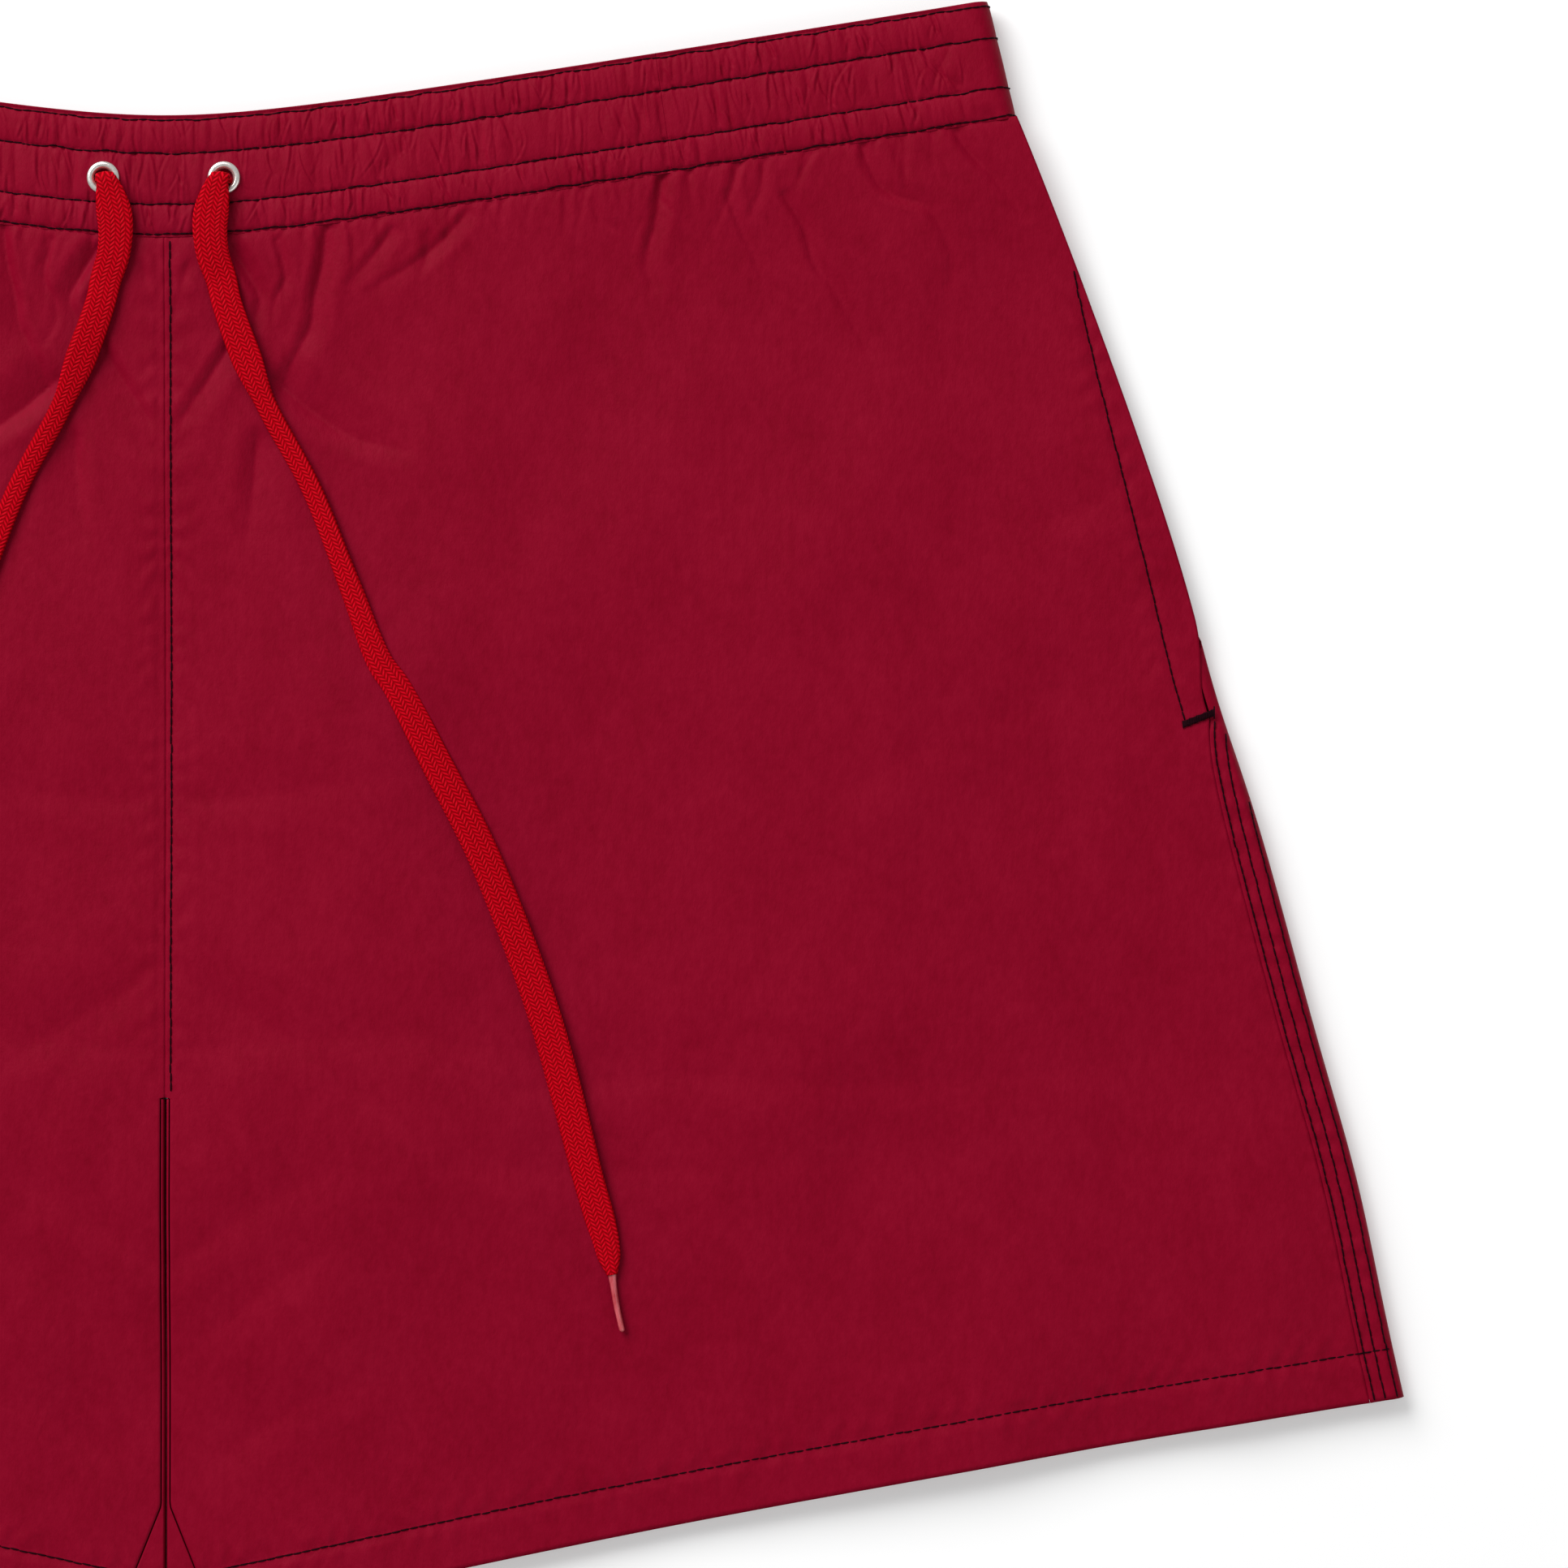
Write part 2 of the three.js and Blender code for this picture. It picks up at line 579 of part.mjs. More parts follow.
const centreStitch = laidThread(16, (t) => {
  const v = lerp(0.004, CROTCH - 2 * NOTCH, t);
  return legPoint(CENTRE_STITCH, v, frontTop(v));
});
add('centre_front_stitch', centreStitch, thread);

const pocketStitch = laidThread(14, (t) => {
  const v = lerp(POCKET_TOP + 2 * NOTCH, POCKET_END - 2 * NOTCH, t);
  const inset = lerp(POCKET_STITCH_TOP, POCKET_STITCH, Math.sin(t * Math.PI / 2));
  return legPoint(sideLine(v) - inset, v, frontTop(v));
});
addPair('pocket_stitch', pocketStitch, thread);

// Each side row keeps its share of the wrap, so the three draw together under the pocket.
SIDE_ROWS.forEach((offset, i) => {
  const row = laidThread(16, (t) => {
    const v = lerp(POCKET_END + 2 * NOTCH, 0.998, t);
    const fold = WRAP_HEM - SIDE_FOLD - CLOTH / 2;
    const share = clamp(offset / fold, 0, 0.9);
    const room = sideWrap(v) - SIDE_FOLD - CLOTH / 2;
    return legPoint(seamX(v) + share * room, v, frontTop(v));
  });
  addPair(`side_stitch_${i + 1}`, row, thread);
});

const hemStitch = laidThread(24, (t) => {
  const x = lerp(innerFoldX, sideFoldX(1), t);
  const [, y] = legPoint(x, 1, 0);
  return [x * sideLine(0.96) / sideLine(1), y + HEM_DEPTH, frontTop(1) + THREAD_THICK + GAP];
});
addPair('hem_stitch', hemStitch, thread);

// Dense bar of thread that closes the lower end of the pocket mouth.
function bartack() {
  const { length, width, thick, inset } = BARTACK;
  const v = POCKET_END + NOTCH;
  const [x, y] = legPoint(sideLine(v) - inset, v, 0);
  const low = frontTop(v) + GAP;
  const slope = Math.atan(HEM_SLOPE);
  return block(steps(-0.5, 0.5, 6), [-0.5, 0.5], [0, 1], (t, s, w) => {
    const along = (t - 0.2) * length;
    const across = s * width;
    return [x + along * Math.cos(slope), y + along * Math.sin(slope) + across, low + w * thick];
  });
}
addPair('pocket_bartack', bartack(), thread);

export default shorts;
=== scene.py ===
"""Drawstring boxing shorts laid flat, face up. Metres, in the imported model's own frame.

x runs across the garment from its centre line, and v runs down it from 0 at the lower edge of the
waistband to 1 at the leg hem. The waistband is a flattened ring with coordinates a, d and w.
Every soft piece is a closed mesh made from two grids, its face and its back.
"""

import math

import bpy
import numpy as np
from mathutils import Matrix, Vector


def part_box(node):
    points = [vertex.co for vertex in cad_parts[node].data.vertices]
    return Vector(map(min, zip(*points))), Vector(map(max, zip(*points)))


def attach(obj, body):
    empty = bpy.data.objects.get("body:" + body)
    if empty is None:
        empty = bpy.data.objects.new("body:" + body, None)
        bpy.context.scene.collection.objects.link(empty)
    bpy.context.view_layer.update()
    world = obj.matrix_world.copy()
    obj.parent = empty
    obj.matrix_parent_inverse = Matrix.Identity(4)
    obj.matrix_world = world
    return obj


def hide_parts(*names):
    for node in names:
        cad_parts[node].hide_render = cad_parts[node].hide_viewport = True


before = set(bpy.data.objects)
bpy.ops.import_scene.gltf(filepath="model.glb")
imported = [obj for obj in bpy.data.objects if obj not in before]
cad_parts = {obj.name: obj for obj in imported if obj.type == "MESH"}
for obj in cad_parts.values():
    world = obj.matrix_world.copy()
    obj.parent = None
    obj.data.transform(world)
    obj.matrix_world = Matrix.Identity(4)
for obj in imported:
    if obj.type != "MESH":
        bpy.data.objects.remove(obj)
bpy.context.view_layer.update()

MM = 0.001

# ---- The garment's driving dimensions, as the CAD model has them ----

WAIST_HALF = 243.6 * MM
WAIST_SLOPE = 0.1625
WAIST_ROUND = 6 * MM
BAND_DEPTH = 35.8 * MM
BAND_LEAN = 0.232
HEM_HALF = 366.5 * MM
OUTSEAM_DROP = 378.2 * MM
HIP_SLOPE = 0.42
LEG_SLOPE = 0.235
HEM_SLOPE = 0.156
HEM_CURVE = 0.092
RISE = 290 * MM
HEM_DEPTH = 15 * MM

GAP = 0.3 * MM
CLOTH = 0.8 * MM
BAND_THICK = 3.2 * MM
BAND_OPEN = 4.6 * MM
FRONT_BAND_Z = BAND_THICK + BAND_OPEN
FRONT_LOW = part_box("pocket_bag_right")[1][2] + GAP
FRONT_HIGH = FRONT_BAND_Z + (BAND_THICK - CLOTH) / 2
EASE = 0.15

SIDE_FOLD = 2.4 * MM
INNER_FOLD = 0.3 * MM
WRAP_START = 4.1 * MM
WRAP_HEM = 10.4 * MM
WRAP_SPREAD = 0.04
INSEAM_WRAP = 14 * MM
INSEAM_START = 0.91
HIP_FLAP = 0.8 * MM
POCKET_TOP = 0.115
POCKET_END = 0.468
BAG_TOP = 0.03
BAG_END = 0.62
BAG_REACH = 135 * MM
BARE = 0.03
NOTCH = 0.004

ROWS = [1.5 * MM, 11.3 * MM, 26.3 * MM, 35.1 * MM]
BAND_SEAM = 145 * MM
CORD_THICK = 2 * MM
EYELET_X = 17.8 * MM
EYELET_DEPTH = 19.2 * MM
EYELET_BORE = 2.65 * MM
EYELET_FLANGE = 4.8 * MM
EYELET_HEIGHT = 0.8 * MM
AGLET_RADIUS = 1.1 * MM
AGLET_LENGTH = 18 * MM
CENTRE_STITCH = 1.7 * MM
POCKET_STITCH = 11.3 * MM
POCKET_STITCH_TOP = 0.9 * MM
SIDE_ROWS = [1.4 * MM, 4.6 * MM, 8.2 * MM]
BARTACK_LENGTH = 9.3 * MM
BARTACK_WIDTH = 2.3 * MM
BARTACK_END = 3.8 * MM     # height of the closing stitches at its right end
BARTACK_TILT = 0.39        # rise of the bartack towards the side

BAND_HALF = WAIST_HALF + BAND_LEAN * BAND_DEPTH

# ---- What only the looks need ----

PLY = 0.35 * MM            # real thickness of one ply
STITCH = 2.7 * MM          # length of one stitch
THREAD = 0.24 * MM         # radius of the thread
SLIT = 0.078               # share of the leg over which the pocket mouth draws away from the edge
LEG_SWAY = 1.5 * MM        # how far the side edge draws in and lets out down the leg
FOLD_LIMIT = 2.4 * MM      # deepest a fold may go
CREASED_HALF = 232 * MM    # creases hang from the waistband this far from the centre line
GATHERED_HALF = [222 * MM, 240 * MM]           # where the gathers begin to fade, and end
BAND_TURN = [229 * MM, 239 * MM, 253 * MM, 263 * MM]   # where the band goes flat, and back
STRAND = 1.35 * MM         # pitch of the braid along the cord
LANE = 1.45 * MM           # width of one slanting lane of the braid
VIEW_WIDTH = 463.7 * MM    # width of the picture at the garment's front
VIEW_X = 182.9 * MM        # middle of the picture, from the centre line
VIEW_DROP = 197.3 * MM     # middle of the picture, below the middle of the waist edge
LENS = 110                 # long lens, so the garment is seen straight on
SENSOR = 36

# ---- Outline ----


def lerp(a, b, t):
    return a + (b - a) * t


def smooth(x, low, high):
    t = np.clip((x - low) / (high - low), 0, 1)
    return t * t * (3 - 2 * t)


def bell(x, width):
    return np.exp(-(x / width) ** 2)


def waist_line(x):
    return np.hypot(WAIST_ROUND, WAIST_SLOPE * x) - WAIST_ROUND


def hem_line(x):
    inwards = HEM_HALF - x
    corner = waist_line(BAND_HALF) - BAND_DEPTH - OUTSEAM_DROP
    return corner - HEM_SLOPE * inwards - HEM_CURVE * inwards ** 2


def side_line(v):
    third = OUTSEAM_DROP / 3
    ends = [BAND_HALF, BAND_HALF + HIP_SLOPE * third, HEM_HALF - LEG_SLOPE * third, HEM_HALF]
    u = 1 - v
    cubic = u ** 3 * ends[0] + 3 * u * u * v * ends[1] + 3 * u * v * v * ends[2] + v ** 3 * ends[3]
    drawn_in = LEG_SWAY * bell(v - 0.45, 0.07)
    let_out = LEG_SWAY * bell(v - 0.83, 0.09)
    return cubic - drawn_in + let_out


SHIFT = -(waist_line(WAIST_HALF) + hem_line(0)) / 2
CROTCH = (RISE - BAND_DEPTH) / (-hem_line(0) - BAND_DEPTH)


def leg_y(x, v, gap=0.0):
    share = np.clip(x / side_line(v), 0, 1)
    high = waist_line(share * BAND_HALF) - BAND_DEPTH - gap
    return SHIFT + lerp(high, hem_line(share * HEM_HALF), v)


def front_z(v):
    return lerp(FRONT_HIGH, FRONT_LOW, smooth(v, 0, EASE))


def side_wrap(v):
    spread = 1 - np.exp(-np.maximum(0, v - POCKET_END) / WRAP_SPREAD)
    return lerp(WRAP_START, WRAP_HEM, spread)


def inseam_wrap(v):
    return GAP + (INSEAM_WRAP - GAP) * np.clip((v - INSEAM_START) / (1 - INSEAM_START), 0, 1)


def seam_x(v):
    return side_line(v) - side_wrap(v)


TURN = (BAND_THICK + BAND_OPEN) / 2


def ring_point(a, d, w):
    """x, y, z in the waistband ring, for arrays a (0 to 4 round it), d (depth) and w (outwards)."""
    a, d, w = np.broadcast_arrays(a, d, w)
    straight = WAIST_HALF + BAND_LEAN * d - TURN - BAND_THICK / 2
    radius = TURN - BAND_THICK / 2 + w
    leg = np.floor(a % 4)
    part = a - np.floor(a)
    side = np.where(leg < 2, 1, -1)
    flat = leg % 2 == 0
    angle = np.pi * part
    x = np.where(flat, side * lerp(-straight, straight, part),
                 side * (straight + radius * np.sin(angle)))
    z = np.where(flat, side * radius, side * radius * np.cos(angle))
    return x, SHIFT + waist_line(x) - d, TURN + BAND_THICK / 2 + z


def ring_at(x, d):
    straight = WAIST_HALF + BAND_LEAN * d - TURN - BAND_THICK / 2
    return (x / straight + 1) / 2


# ---- Smooth noise ----


def waves(seed, length, count=24, stretch=1.0):
    """Smooth noise about 1 high, from waves of about that length; stretch draws it out along y."""
    rng = np.random.default_rng(seed)
    angle = rng.uniform(0, 2 * np.pi, count)
    k = 2 * np.pi / (length * rng.uniform(0.7, 1.5, count))
    kx = k * np.cos(angle)
    ky = k * np.sin(angle) / stretch
    phase = rng.uniform(0, 2 * np.pi, count)

    def at(x, y):
        total = np.zeros(np.broadcast(x, y).shape)
        for i in range(count):
            total += np.sin(kx[i] * x + ky[i] * y + phase[i])
        return total / math.sqrt(count)

    return at


# ---- Mesh helpers ----


def add_object(name, data):
    obj = bpy.data.objects.new(name, data)
    bpy.context.scene.collection.objects.link(obj)
    return obj


def make_object(name, verts, faces, material):
    mesh = bpy.data.meshes.new(name)
    mesh.from_pydata(verts, [], faces)
    mesh.polygons.foreach_set("use_smooth", [True] * len(mesh.polygons))
    mesh.materials.append(material)
    mesh.update()
    obj = add_object(name, mesh)
    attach(obj, "root")
    return obj


def grid_faces(rows, columns, offset=0, wrap=False):
    """Quads of a lattice; wrap joins its last column to its first."""
    i = np.arange(rows - 1)[:, None]
    j = np.arange(columns if wrap else columns - 1)[None, :]
    k = (j + 1) % columns
    quads = np.stack(np.broadcast_arrays(
        i * columns + j, i * columns + k, (i + 1) * columns + k, (i + 1) * columns + j), -1)
    return quads.reshape(-1, 4) + offset


def shell(name, face, back, material, flip=False):
    """A closed sheet between two lattices of points of the same shape, (rows, columns, 3)."""
    rows, columns = face.shape[:2]
    count = rows * columns
    verts = np.concatenate([face.reshape(-1, 3), back.reshape(-1, 3)])
    top = grid_faces(rows, columns)
    bottom = grid_faces(rows, columns, count)[:, ::-1]
    ring = np.concatenate([
        np.arange(columns), np.arange(1, rows) * columns + columns - 1,
        (rows - 1) * columns + np.arange(columns - 2, -1, -1),
        np.arange(rows - 2, 0, -1) * columns])
    following = np.roll(ring, -1)
    edge = np.stack([following, ring, ring + count, following + count], -1)
    faces = np.concatenate([top, bottom, edge])
    if flip:
        faces = faces[:, ::-1]
    return make_object(name, verts.tolist(), faces.tolist(), material)


def tube(name, rings, material):
    """A closed tube through rings of points, (count, around, 3), with a fan at each end."""
    count, around = rings.shape[:2]
    verts = np.concatenate([rings.reshape(-1, 3), rings[[0, -1]].mean(1)])
    sides = grid_faces(count, around, wrap=True).tolist()
    first = count * around
    last = first - around
    for j in range(around):
        k = (j + 1) % around
        sides.append([first, k, j])
        sides.append([first + 1, last + j, last + k])
    return make_object(name, verts.tolist(), sides, material)


def mirror(points):
    return points * np.array([-1.0, 1.0, 1.0])


def circle(count):
    return np.linspace(0, 2 * np.pi, count, endpoint=False)


def unit(vectors):
    return vectors / np.linalg.norm(vectors, axis=-1, keepdims=True)


def stops(spans, last):
    """Even stops through spans of (start, end, count), closed by a last one."""
    return np.concatenate([np.linspace(p, q, n, endpoint=False) for p, q, n in spans] + [[last]])


def distances(line):
    """How far along a line each of its points lies."""
    return np.concatenate([[0], np.cumsum(np.linalg.norm(np.diff(line, axis=0), axis=1))])


def rings_round(middle, across, up, sideways, upwards):
    """Rings of points round the places of a line, at offsets along two directions."""
    return (middle[..., None, :] + across[..., None, :] * sideways[..., None]
            + up[..., None, :] * upwards[..., None])


def read_off(table, run, at):
    """Rows of a table kept at the distances in run, read at others."""
    return np.stack([np.interp(at, run, table[:, i]) for i in range(3)], -1)


SIDES = [("right", 1), ("left", -1)]
UP = np.array([0, 0, 1.0])


def spline(points, count):
    """Evenly spaced points of a centripetal Catmull-Rom curve through these points."""
    p = np.array(points, float)
    p = np.concatenate([[2 * p[0] - p[1]], p, [2 * p[-1] - p[-2]]])
    knots = np.concatenate([[0], np.cumsum(np.linalg.norm(np.diff(p, axis=0), axis=1) ** 0.5)])
    dense = []
    for i in range(1, len(p) - 2):
        t = np.linspace(knots[i], knots[i + 1], 40, endpoint=False)[:, None]
        t0, t1, t2, t3 = knots[i - 1:i + 3]
        a1 = lerp(p[i - 1], p[i], (t - t0) / (t1 - t0))
        a2 = lerp(p[i], p[i + 1], (t - t1) / (t2 - t1))
        a3 = lerp(p[i + 1], p[i + 2], (t - t2) / (t3 - t2))
        b1 = lerp(a1, a2, (t - t0) / (t2 - t0))
        b2 = lerp(a2, a3, (t - t1) / (t3 - t1))
        dense.append(lerp(b1, b2, (t - t1) / (t2 - t1)))
    dense = np.concatenate(dense + [p[-2:-1]])
    run = distances(dense)
    return read_off(dense, run, np.linspace(0, run[-1], count)), run[-1]


# ---- Materials ----


EVEN = (1, 1, 1)            # noise that is not drawn out


def new_material(name, **sockets):
    material = bpy.data.materials.new(name)
    material.use_nodes = True
    shader = material.node_tree.nodes["Principled BSDF"]
    for socket, value in sockets.items():
        shader.inputs[socket.replace("_", " ")].default_value = value
    return material, material.node_tree, shader


def node(tree, kind, **values):
    made = tree.nodes.new(kind)
    for key, value in values.items():
        if key in made.inputs:
            made.inputs[key].default_value = value
        else:
            setattr(made, key, value)
    return made


def math_node(tree, operation, *values):
    """A sum or function of numbers and sockets."""
    made = node(tree, "ShaderNodeMath", operation=operation)
    for slot, value in enumerate(values):
        if isinstance(value, bpy.types.NodeSocket):
            tree.links.new(value, made.inputs[slot])
        else:
            made.inputs[slot].default_value = value
    return made.outputs["Value"]


def stretched_noise(tree, scale, stretch, detail=4.0, roughness=0.6):
    """Noise in object space, in features per metre, drawn out by the factors in stretch."""
    place = node(tree, "ShaderNodeTexCoord")
    mapping = node(tree, "ShaderNodeMapping", Scale=stretch)
    noise = node(tree, "ShaderNodeTexNoise", Scale=scale, Detail=detail, Roughness=roughness)
    tree.links.new(place.outputs["Object"], mapping.inputs["Vector"])
    tree.links.new(mapping.outputs["Vector"], noise.inputs["Vector"])
    return noise.outputs["Fac"]


def colour(tree, shader, factor, stops):
    """Colours the shader along a factor, through stops of (place, colour)."""
    made = node(tree, "ShaderNodeValToRGB")
    elements = made.color_ramp.elements
    while len(elements) < len(stops):
        elements.new(0.5)
    for element, (place, shade) in zip(elements, stops):
        element.position = place
        element.color = (*shade, 1)
    tree.links.new(factor, made.inputs["Fac"])
    tree.links.new(made.outputs["Color"], shader.inputs["Base Color"])


def bump(tree, shader, heights):
    """Chains bumps onto the shader: heights is a list of (socket, strength, distance)."""
    normal = None
    for height, strength, distance in heights:
        made = node(tree, "ShaderNodeBump", Strength=strength, Distance=distance)
        tree.links.new(height, made.inputs["Height"])
        if normal is not None:
            tree.links.new(normal, made.inputs["Normal"])
        normal = made.outputs["Normal"]
    tree.links.new(normal, shader.inputs["Normal"])


def weave(tree, pitch):
    """Plain weave: crossed threads in x and y, in object space."""
    place = node(tree, "ShaderNodeTexCoord")
    threads = []
    for direction in ("X", "Y"):
        wave = node(tree, "ShaderNodeTexWave", Scale=0.5 / pitch, Distortion=1.5, Detail=1.0)
        wave.bands_direction = direction
        tree.links.new(place.outputs["Object"], wave.inputs["Vector"])
        threads.append(wave.outputs["Fac"])
    return math_node(tree, "MULTIPLY", *threads)


def crinkle_nylon(name, dark, mid, light):
    """Matt crinkled nylon: fine weave, upright crinkle streaks, and colour that mixes soft random
    variation with painted shade in the streak valleys.
    """
    material, tree, shader = new_material(name, Roughness=0.5, Specular_IOR_Level=0.04)
    broad = stretched_noise(tree, 55, (1, 0.7, 1), 8, 0.68)
    streaks = stretched_noise(tree, 420, (1, 0.52, 1), 6, 0.74)
    tone_and_painted_shading = node(tree, "ShaderNodeMix", data_type="FLOAT")
    tone_and_painted_shading.inputs["Factor"].default_value = 0.55
    tree.links.new(broad, tone_and_painted_shading.inputs["A"])
    tree.links.new(streaks, tone_and_painted_shading.inputs["B"])
    # Painted shade: the streaks noise also drives the bump, so the colour darkens in the streak
    # valleys and lightens on their crests; the broad noise is random tone.
    colour(tree, shader, tone_and_painted_shading.outputs["Result"], [(0.30, dark), (0.5, mid), (0.72, light)])
    crinkle = stretched_noise(tree, 900, (1, 0.5, 1), 4, 0.65)
    threads = weave(tree, 0.45 * MM)
    bump(tree, shader, [
        (streaks, 0.65, 0.40 * MM), (crinkle, 0.6, 0.14 * MM), (threads, 0.25, 0.05 * MM)])
    return material


def braid_material():
    """Herringbone braid, drawn from the distances along and across the cord kept on its mesh, with
    painted shade in the hollows between strands and painted highlights on their crests.
    """
    material, tree, shader = new_material("red_braid", Roughness=0.55, Specular_IOR_Level=0.02)
    along = node(tree, "ShaderNodeAttribute", attribute_name="along").outputs["Fac"]
    across = node(tree, "ShaderNodeAttribute", attribute_name="across").outputs["Fac"]
    wander = math_node(tree, "MULTIPLY", stretched_noise(tree, 900, EVEN, 2), 0.35 * MM)
    zigzag = math_node(tree, "PINGPONG", across, LANE)
    slanted = math_node(tree, "ADD", math_node(tree, "SUBTRACT", along, zigzag), wander)
    turns = math_node(tree, "MULTIPLY", slanted, 2 * math.pi / STRAND)
    strand = math_node(tree, "MULTIPLY_ADD", math_node(tree, "SINE", turns), 0.5, 0.5)
    lane = math_node(tree, "ABSOLUTE", math_node(
        tree, "SINE", math_node(tree, "MULTIPLY", across, math.pi / LANE)))
    height = math_node(tree, "MULTIPLY", strand, math_node(tree, "POWER", lane, 0.35))
    fuzz = stretched_noise(tree, 2600, EVEN, 3)
    tone_and_painted_shading = math_node(tree, "ADD", math_node(tree, "MULTIPLY", height, 0.8),
                      math_node(tree, "MULTIPLY", fuzz, 0.25))
    # Painted shade and highlight: the colour follows the braid's bump height, dark between the
    # strands and bright on their crests, with random fuzz tone mixed in.
    colour(tree, shader, tone_and_painted_shading, [
        (0.05, (0.17, 0.0, 0.0015)), (0.45, (0.43, 0.0, 0.005)), (0.95, (0.66, 0.003, 0.016))])
    bump(tree, shader, [(height, 0.8, 0.26 * MM), (fuzz, 0.4, 0.05 * MM)])
    return material


def mottled(name, noise, dark, light, span=(0.3, 0.7), relief=None, haze=None, **sockets):
    """A material mottled between two colours over a noise of this scale, stretch and detail.

    relief is the strength and depth of its bumps, and haze the range of its roughness.
    """
    material, tree, shader = new_material(name, **sockets)
    factor = stretched_noise(tree, *noise)
    colour(tree, shader, factor, [(span[0], dark), (span[1], light)])
    if relief:
        bump(tree, shader, [(factor, *relief)])
    if haze:
        rough = node(tree, "ShaderNodeMapRange")
        rough.inputs["To Min"].default_value = haze[0]
        rough.inputs["To Max"].default_value = haze[1]
        tree.links.new(factor, rough.inputs["Value"])
        tree.links.new(rough.outputs["Result"], shader.inputs["Roughness"])
    return material


# Dark, mid and light stops: random tone, partly painted shade in the crinkle streak valleys.
shell_fabric = crinkle_nylon(
    "crinkle_nylon", (0.190, 0.0004, 0.0110), (0.228, 0.0012, 0.0160), (0.264, 0.0030, 0.0212))
lining_fabric = crinkle_nylon(
    "pocket_lining", (0.12, 0.002, 0.008), (0.15, 0.003, 0.012), (0.18, 0.004, 0.015))
red_braid = braid_material()
dark_thread = mottled(
    "dark_thread", (2500, EVEN, 2), (0.005, 0.0006, 0.002), (0.018, 0.0010, 0.004),
    relief=(0.5, 0.05 * MM), Roughness=0.7, Specular_IOR_Level=0.05)
bright_nickel = mottled(
    "bright_nickel", (900, EVEN, 3), (0.80, 0.77, 0.72), (0.96, 0.93, 0.88),
    haze=(0.18, 0.34), Metallic=0.8)
clear_red_film = mottled(
    "clear_red_film", (700, (1, 0.3, 1), 3), (0.40, 0.02, 0.03), (0.62, 0.11, 0.13),
    relief=(0.25, 0.1 * MM), Roughness=0.22, Specular_IOR_Level=0.5, Coat_Weight=0.6,
    Coat_Roughness=0.12)
ribbed_elastic = mottled(
    "ribbed_elastic", (700, (1, 0.05, 1), 2), (0.5, 0.48, 0.45), (0.75, 0.73, 0.69),
    relief=(0.8, 0.2 * MM), Roughness=0.8)
pale_floor = mottled(
    "pale_floor", (3, EVEN, 2), (0.74, 0.74, 0.74), (0.76, 0.76, 0.76), span=(0, 1),
    Roughness=0.85, Specular_IOR_Level=0.1, Emission_Strength=0.27,
    Emission_Color=(1, 1, 1, 1))

# ---- Camera, floor and light ----


def build_stage():
    bpy.ops.mesh.primitive_plane_add(size=30, location=(0, 0, -0.0002))
    floor = bpy.context.object
    floor.name = "floor"
    floor.data.materials.append(pale_floor)

    data = bpy.data.cameras.new("camera")
    data.lens = LENS
    data.sensor_width = SENSOR
    camera = add_object("camera", data)
    distance = VIEW_WIDTH * LENS / SENSOR
    camera.location = (VIEW_X, SHIFT - VIEW_DROP, FRONT_LOW + distance)
    bpy.context.scene.camera = camera


def area_light(name, size, energy, location, aim):
    data = bpy.data.lights.new(name, "AREA")
    data.size = size
    data.energy = energy
    lamp = add_object(name, data)
    lamp.location = location
    way = np.array(aim) - np.array(location)
    pitch = math.atan2(math.hypot(way[0], way[1]), -way[2])
    lamp.rotation_euler = (pitch, 0, math.atan2(way[1], way[0]) - math.pi / 2)


def build_light():
    area_light("key", 2.4, 156, (-1.7, 2.2, 2.2), (0.1, 0, 0))
    area_light("fill", 2.0, 10, (1.4, -1.0, 1.7), (0, 0, 0))
    world = bpy.data.worlds.new("soft_room")
    world.use_nodes = True
    sky = world.node_tree.nodes["Background"].inputs
    sky["Color"].default_value = (1, 1, 1, 1)
    sky["Strength"].default_value = 0.30
    bpy.context.scene.world = world
    bpy.context.scene.view_settings.view_transform = "Standard"


build_stage()
build_light()

# ---- Drawcord ----

OVER_FLANGE = FRONT_BAND_Z + BAND_THICK + GAP + EYELET_HEIGHT + GAP + CORD_THICK / 2
OVER_BAND = FRONT_BAND_Z + BAND_THICK + 3 * GAP + CORD_THICK / 2
ON_PANEL = FRONT_LOW + CLOTH + GAP + CORD_THICK / 2
PANEL_TOP_ROUTE = FRONT_HIGH + CLOTH + GAP + CORD_THICK / 2

# x and y in millimetres from the middle of the waist edge, and the height of the cord's middle.
CORD_ROUTE = [
    (17.8, -19.2, FRONT_BAND_Z + 1.5 * MM), (17.7, -19.0, OVER_FLANGE - 1.6 * MM),
    (17.0, -18.0, OVER_FLANGE), (15.2, -24.5, OVER_FLANGE), (13.9, -32.6, OVER_BAND),
    (14.6, -41.0, PANEL_TOP_ROUTE + 1 * MM), (17.0, -48.5, PANEL_TOP_ROUTE),
    (18.7, -55.7, PANEL_TOP_ROUTE), (26.4, -76.8, PANEL_TOP_ROUTE - 0.6 * MM),
    (31.3, -87.8, ON_PANEL + 0.8 * MM), (43.2, -109.7, ON_PANEL + 0.2 * MM),
]
# The rest of it lies on the panel, at ON_PANEL.
CORD_ROUTE += [(x, y, ON_PANEL) for x, y in (
    (55.1, -139.7), (63.4, -161.0), (68.6, -168.7), (80.6, -191.8), (92.6, -215.0),
    (103.4, -241.0), (112.6, -267.1), (119.8, -293.0), (125.0, -313.4), (130.3, -332.2),
    (132.2, -342.2))]
# Width seen from above, in millimetres, at distances down the cord from the eyelet.
CORD_WIDTHS = [
    (0, 4.6), (5, 5.2), (10, 8.6), (16, 10.6), (30, 9.6), (42, 8.8), (62, 9.2), (74, 6.2),
    (98, 6.0), (124, 6.2), (146, 7.0), (158, 7.6), (184, 9.0), (210, 9.6), (300, 9.8),
    (340, 9.2), (352, 7.0), (357, 2.8),
]
BRAID_DEPTH = 0.05 * MM


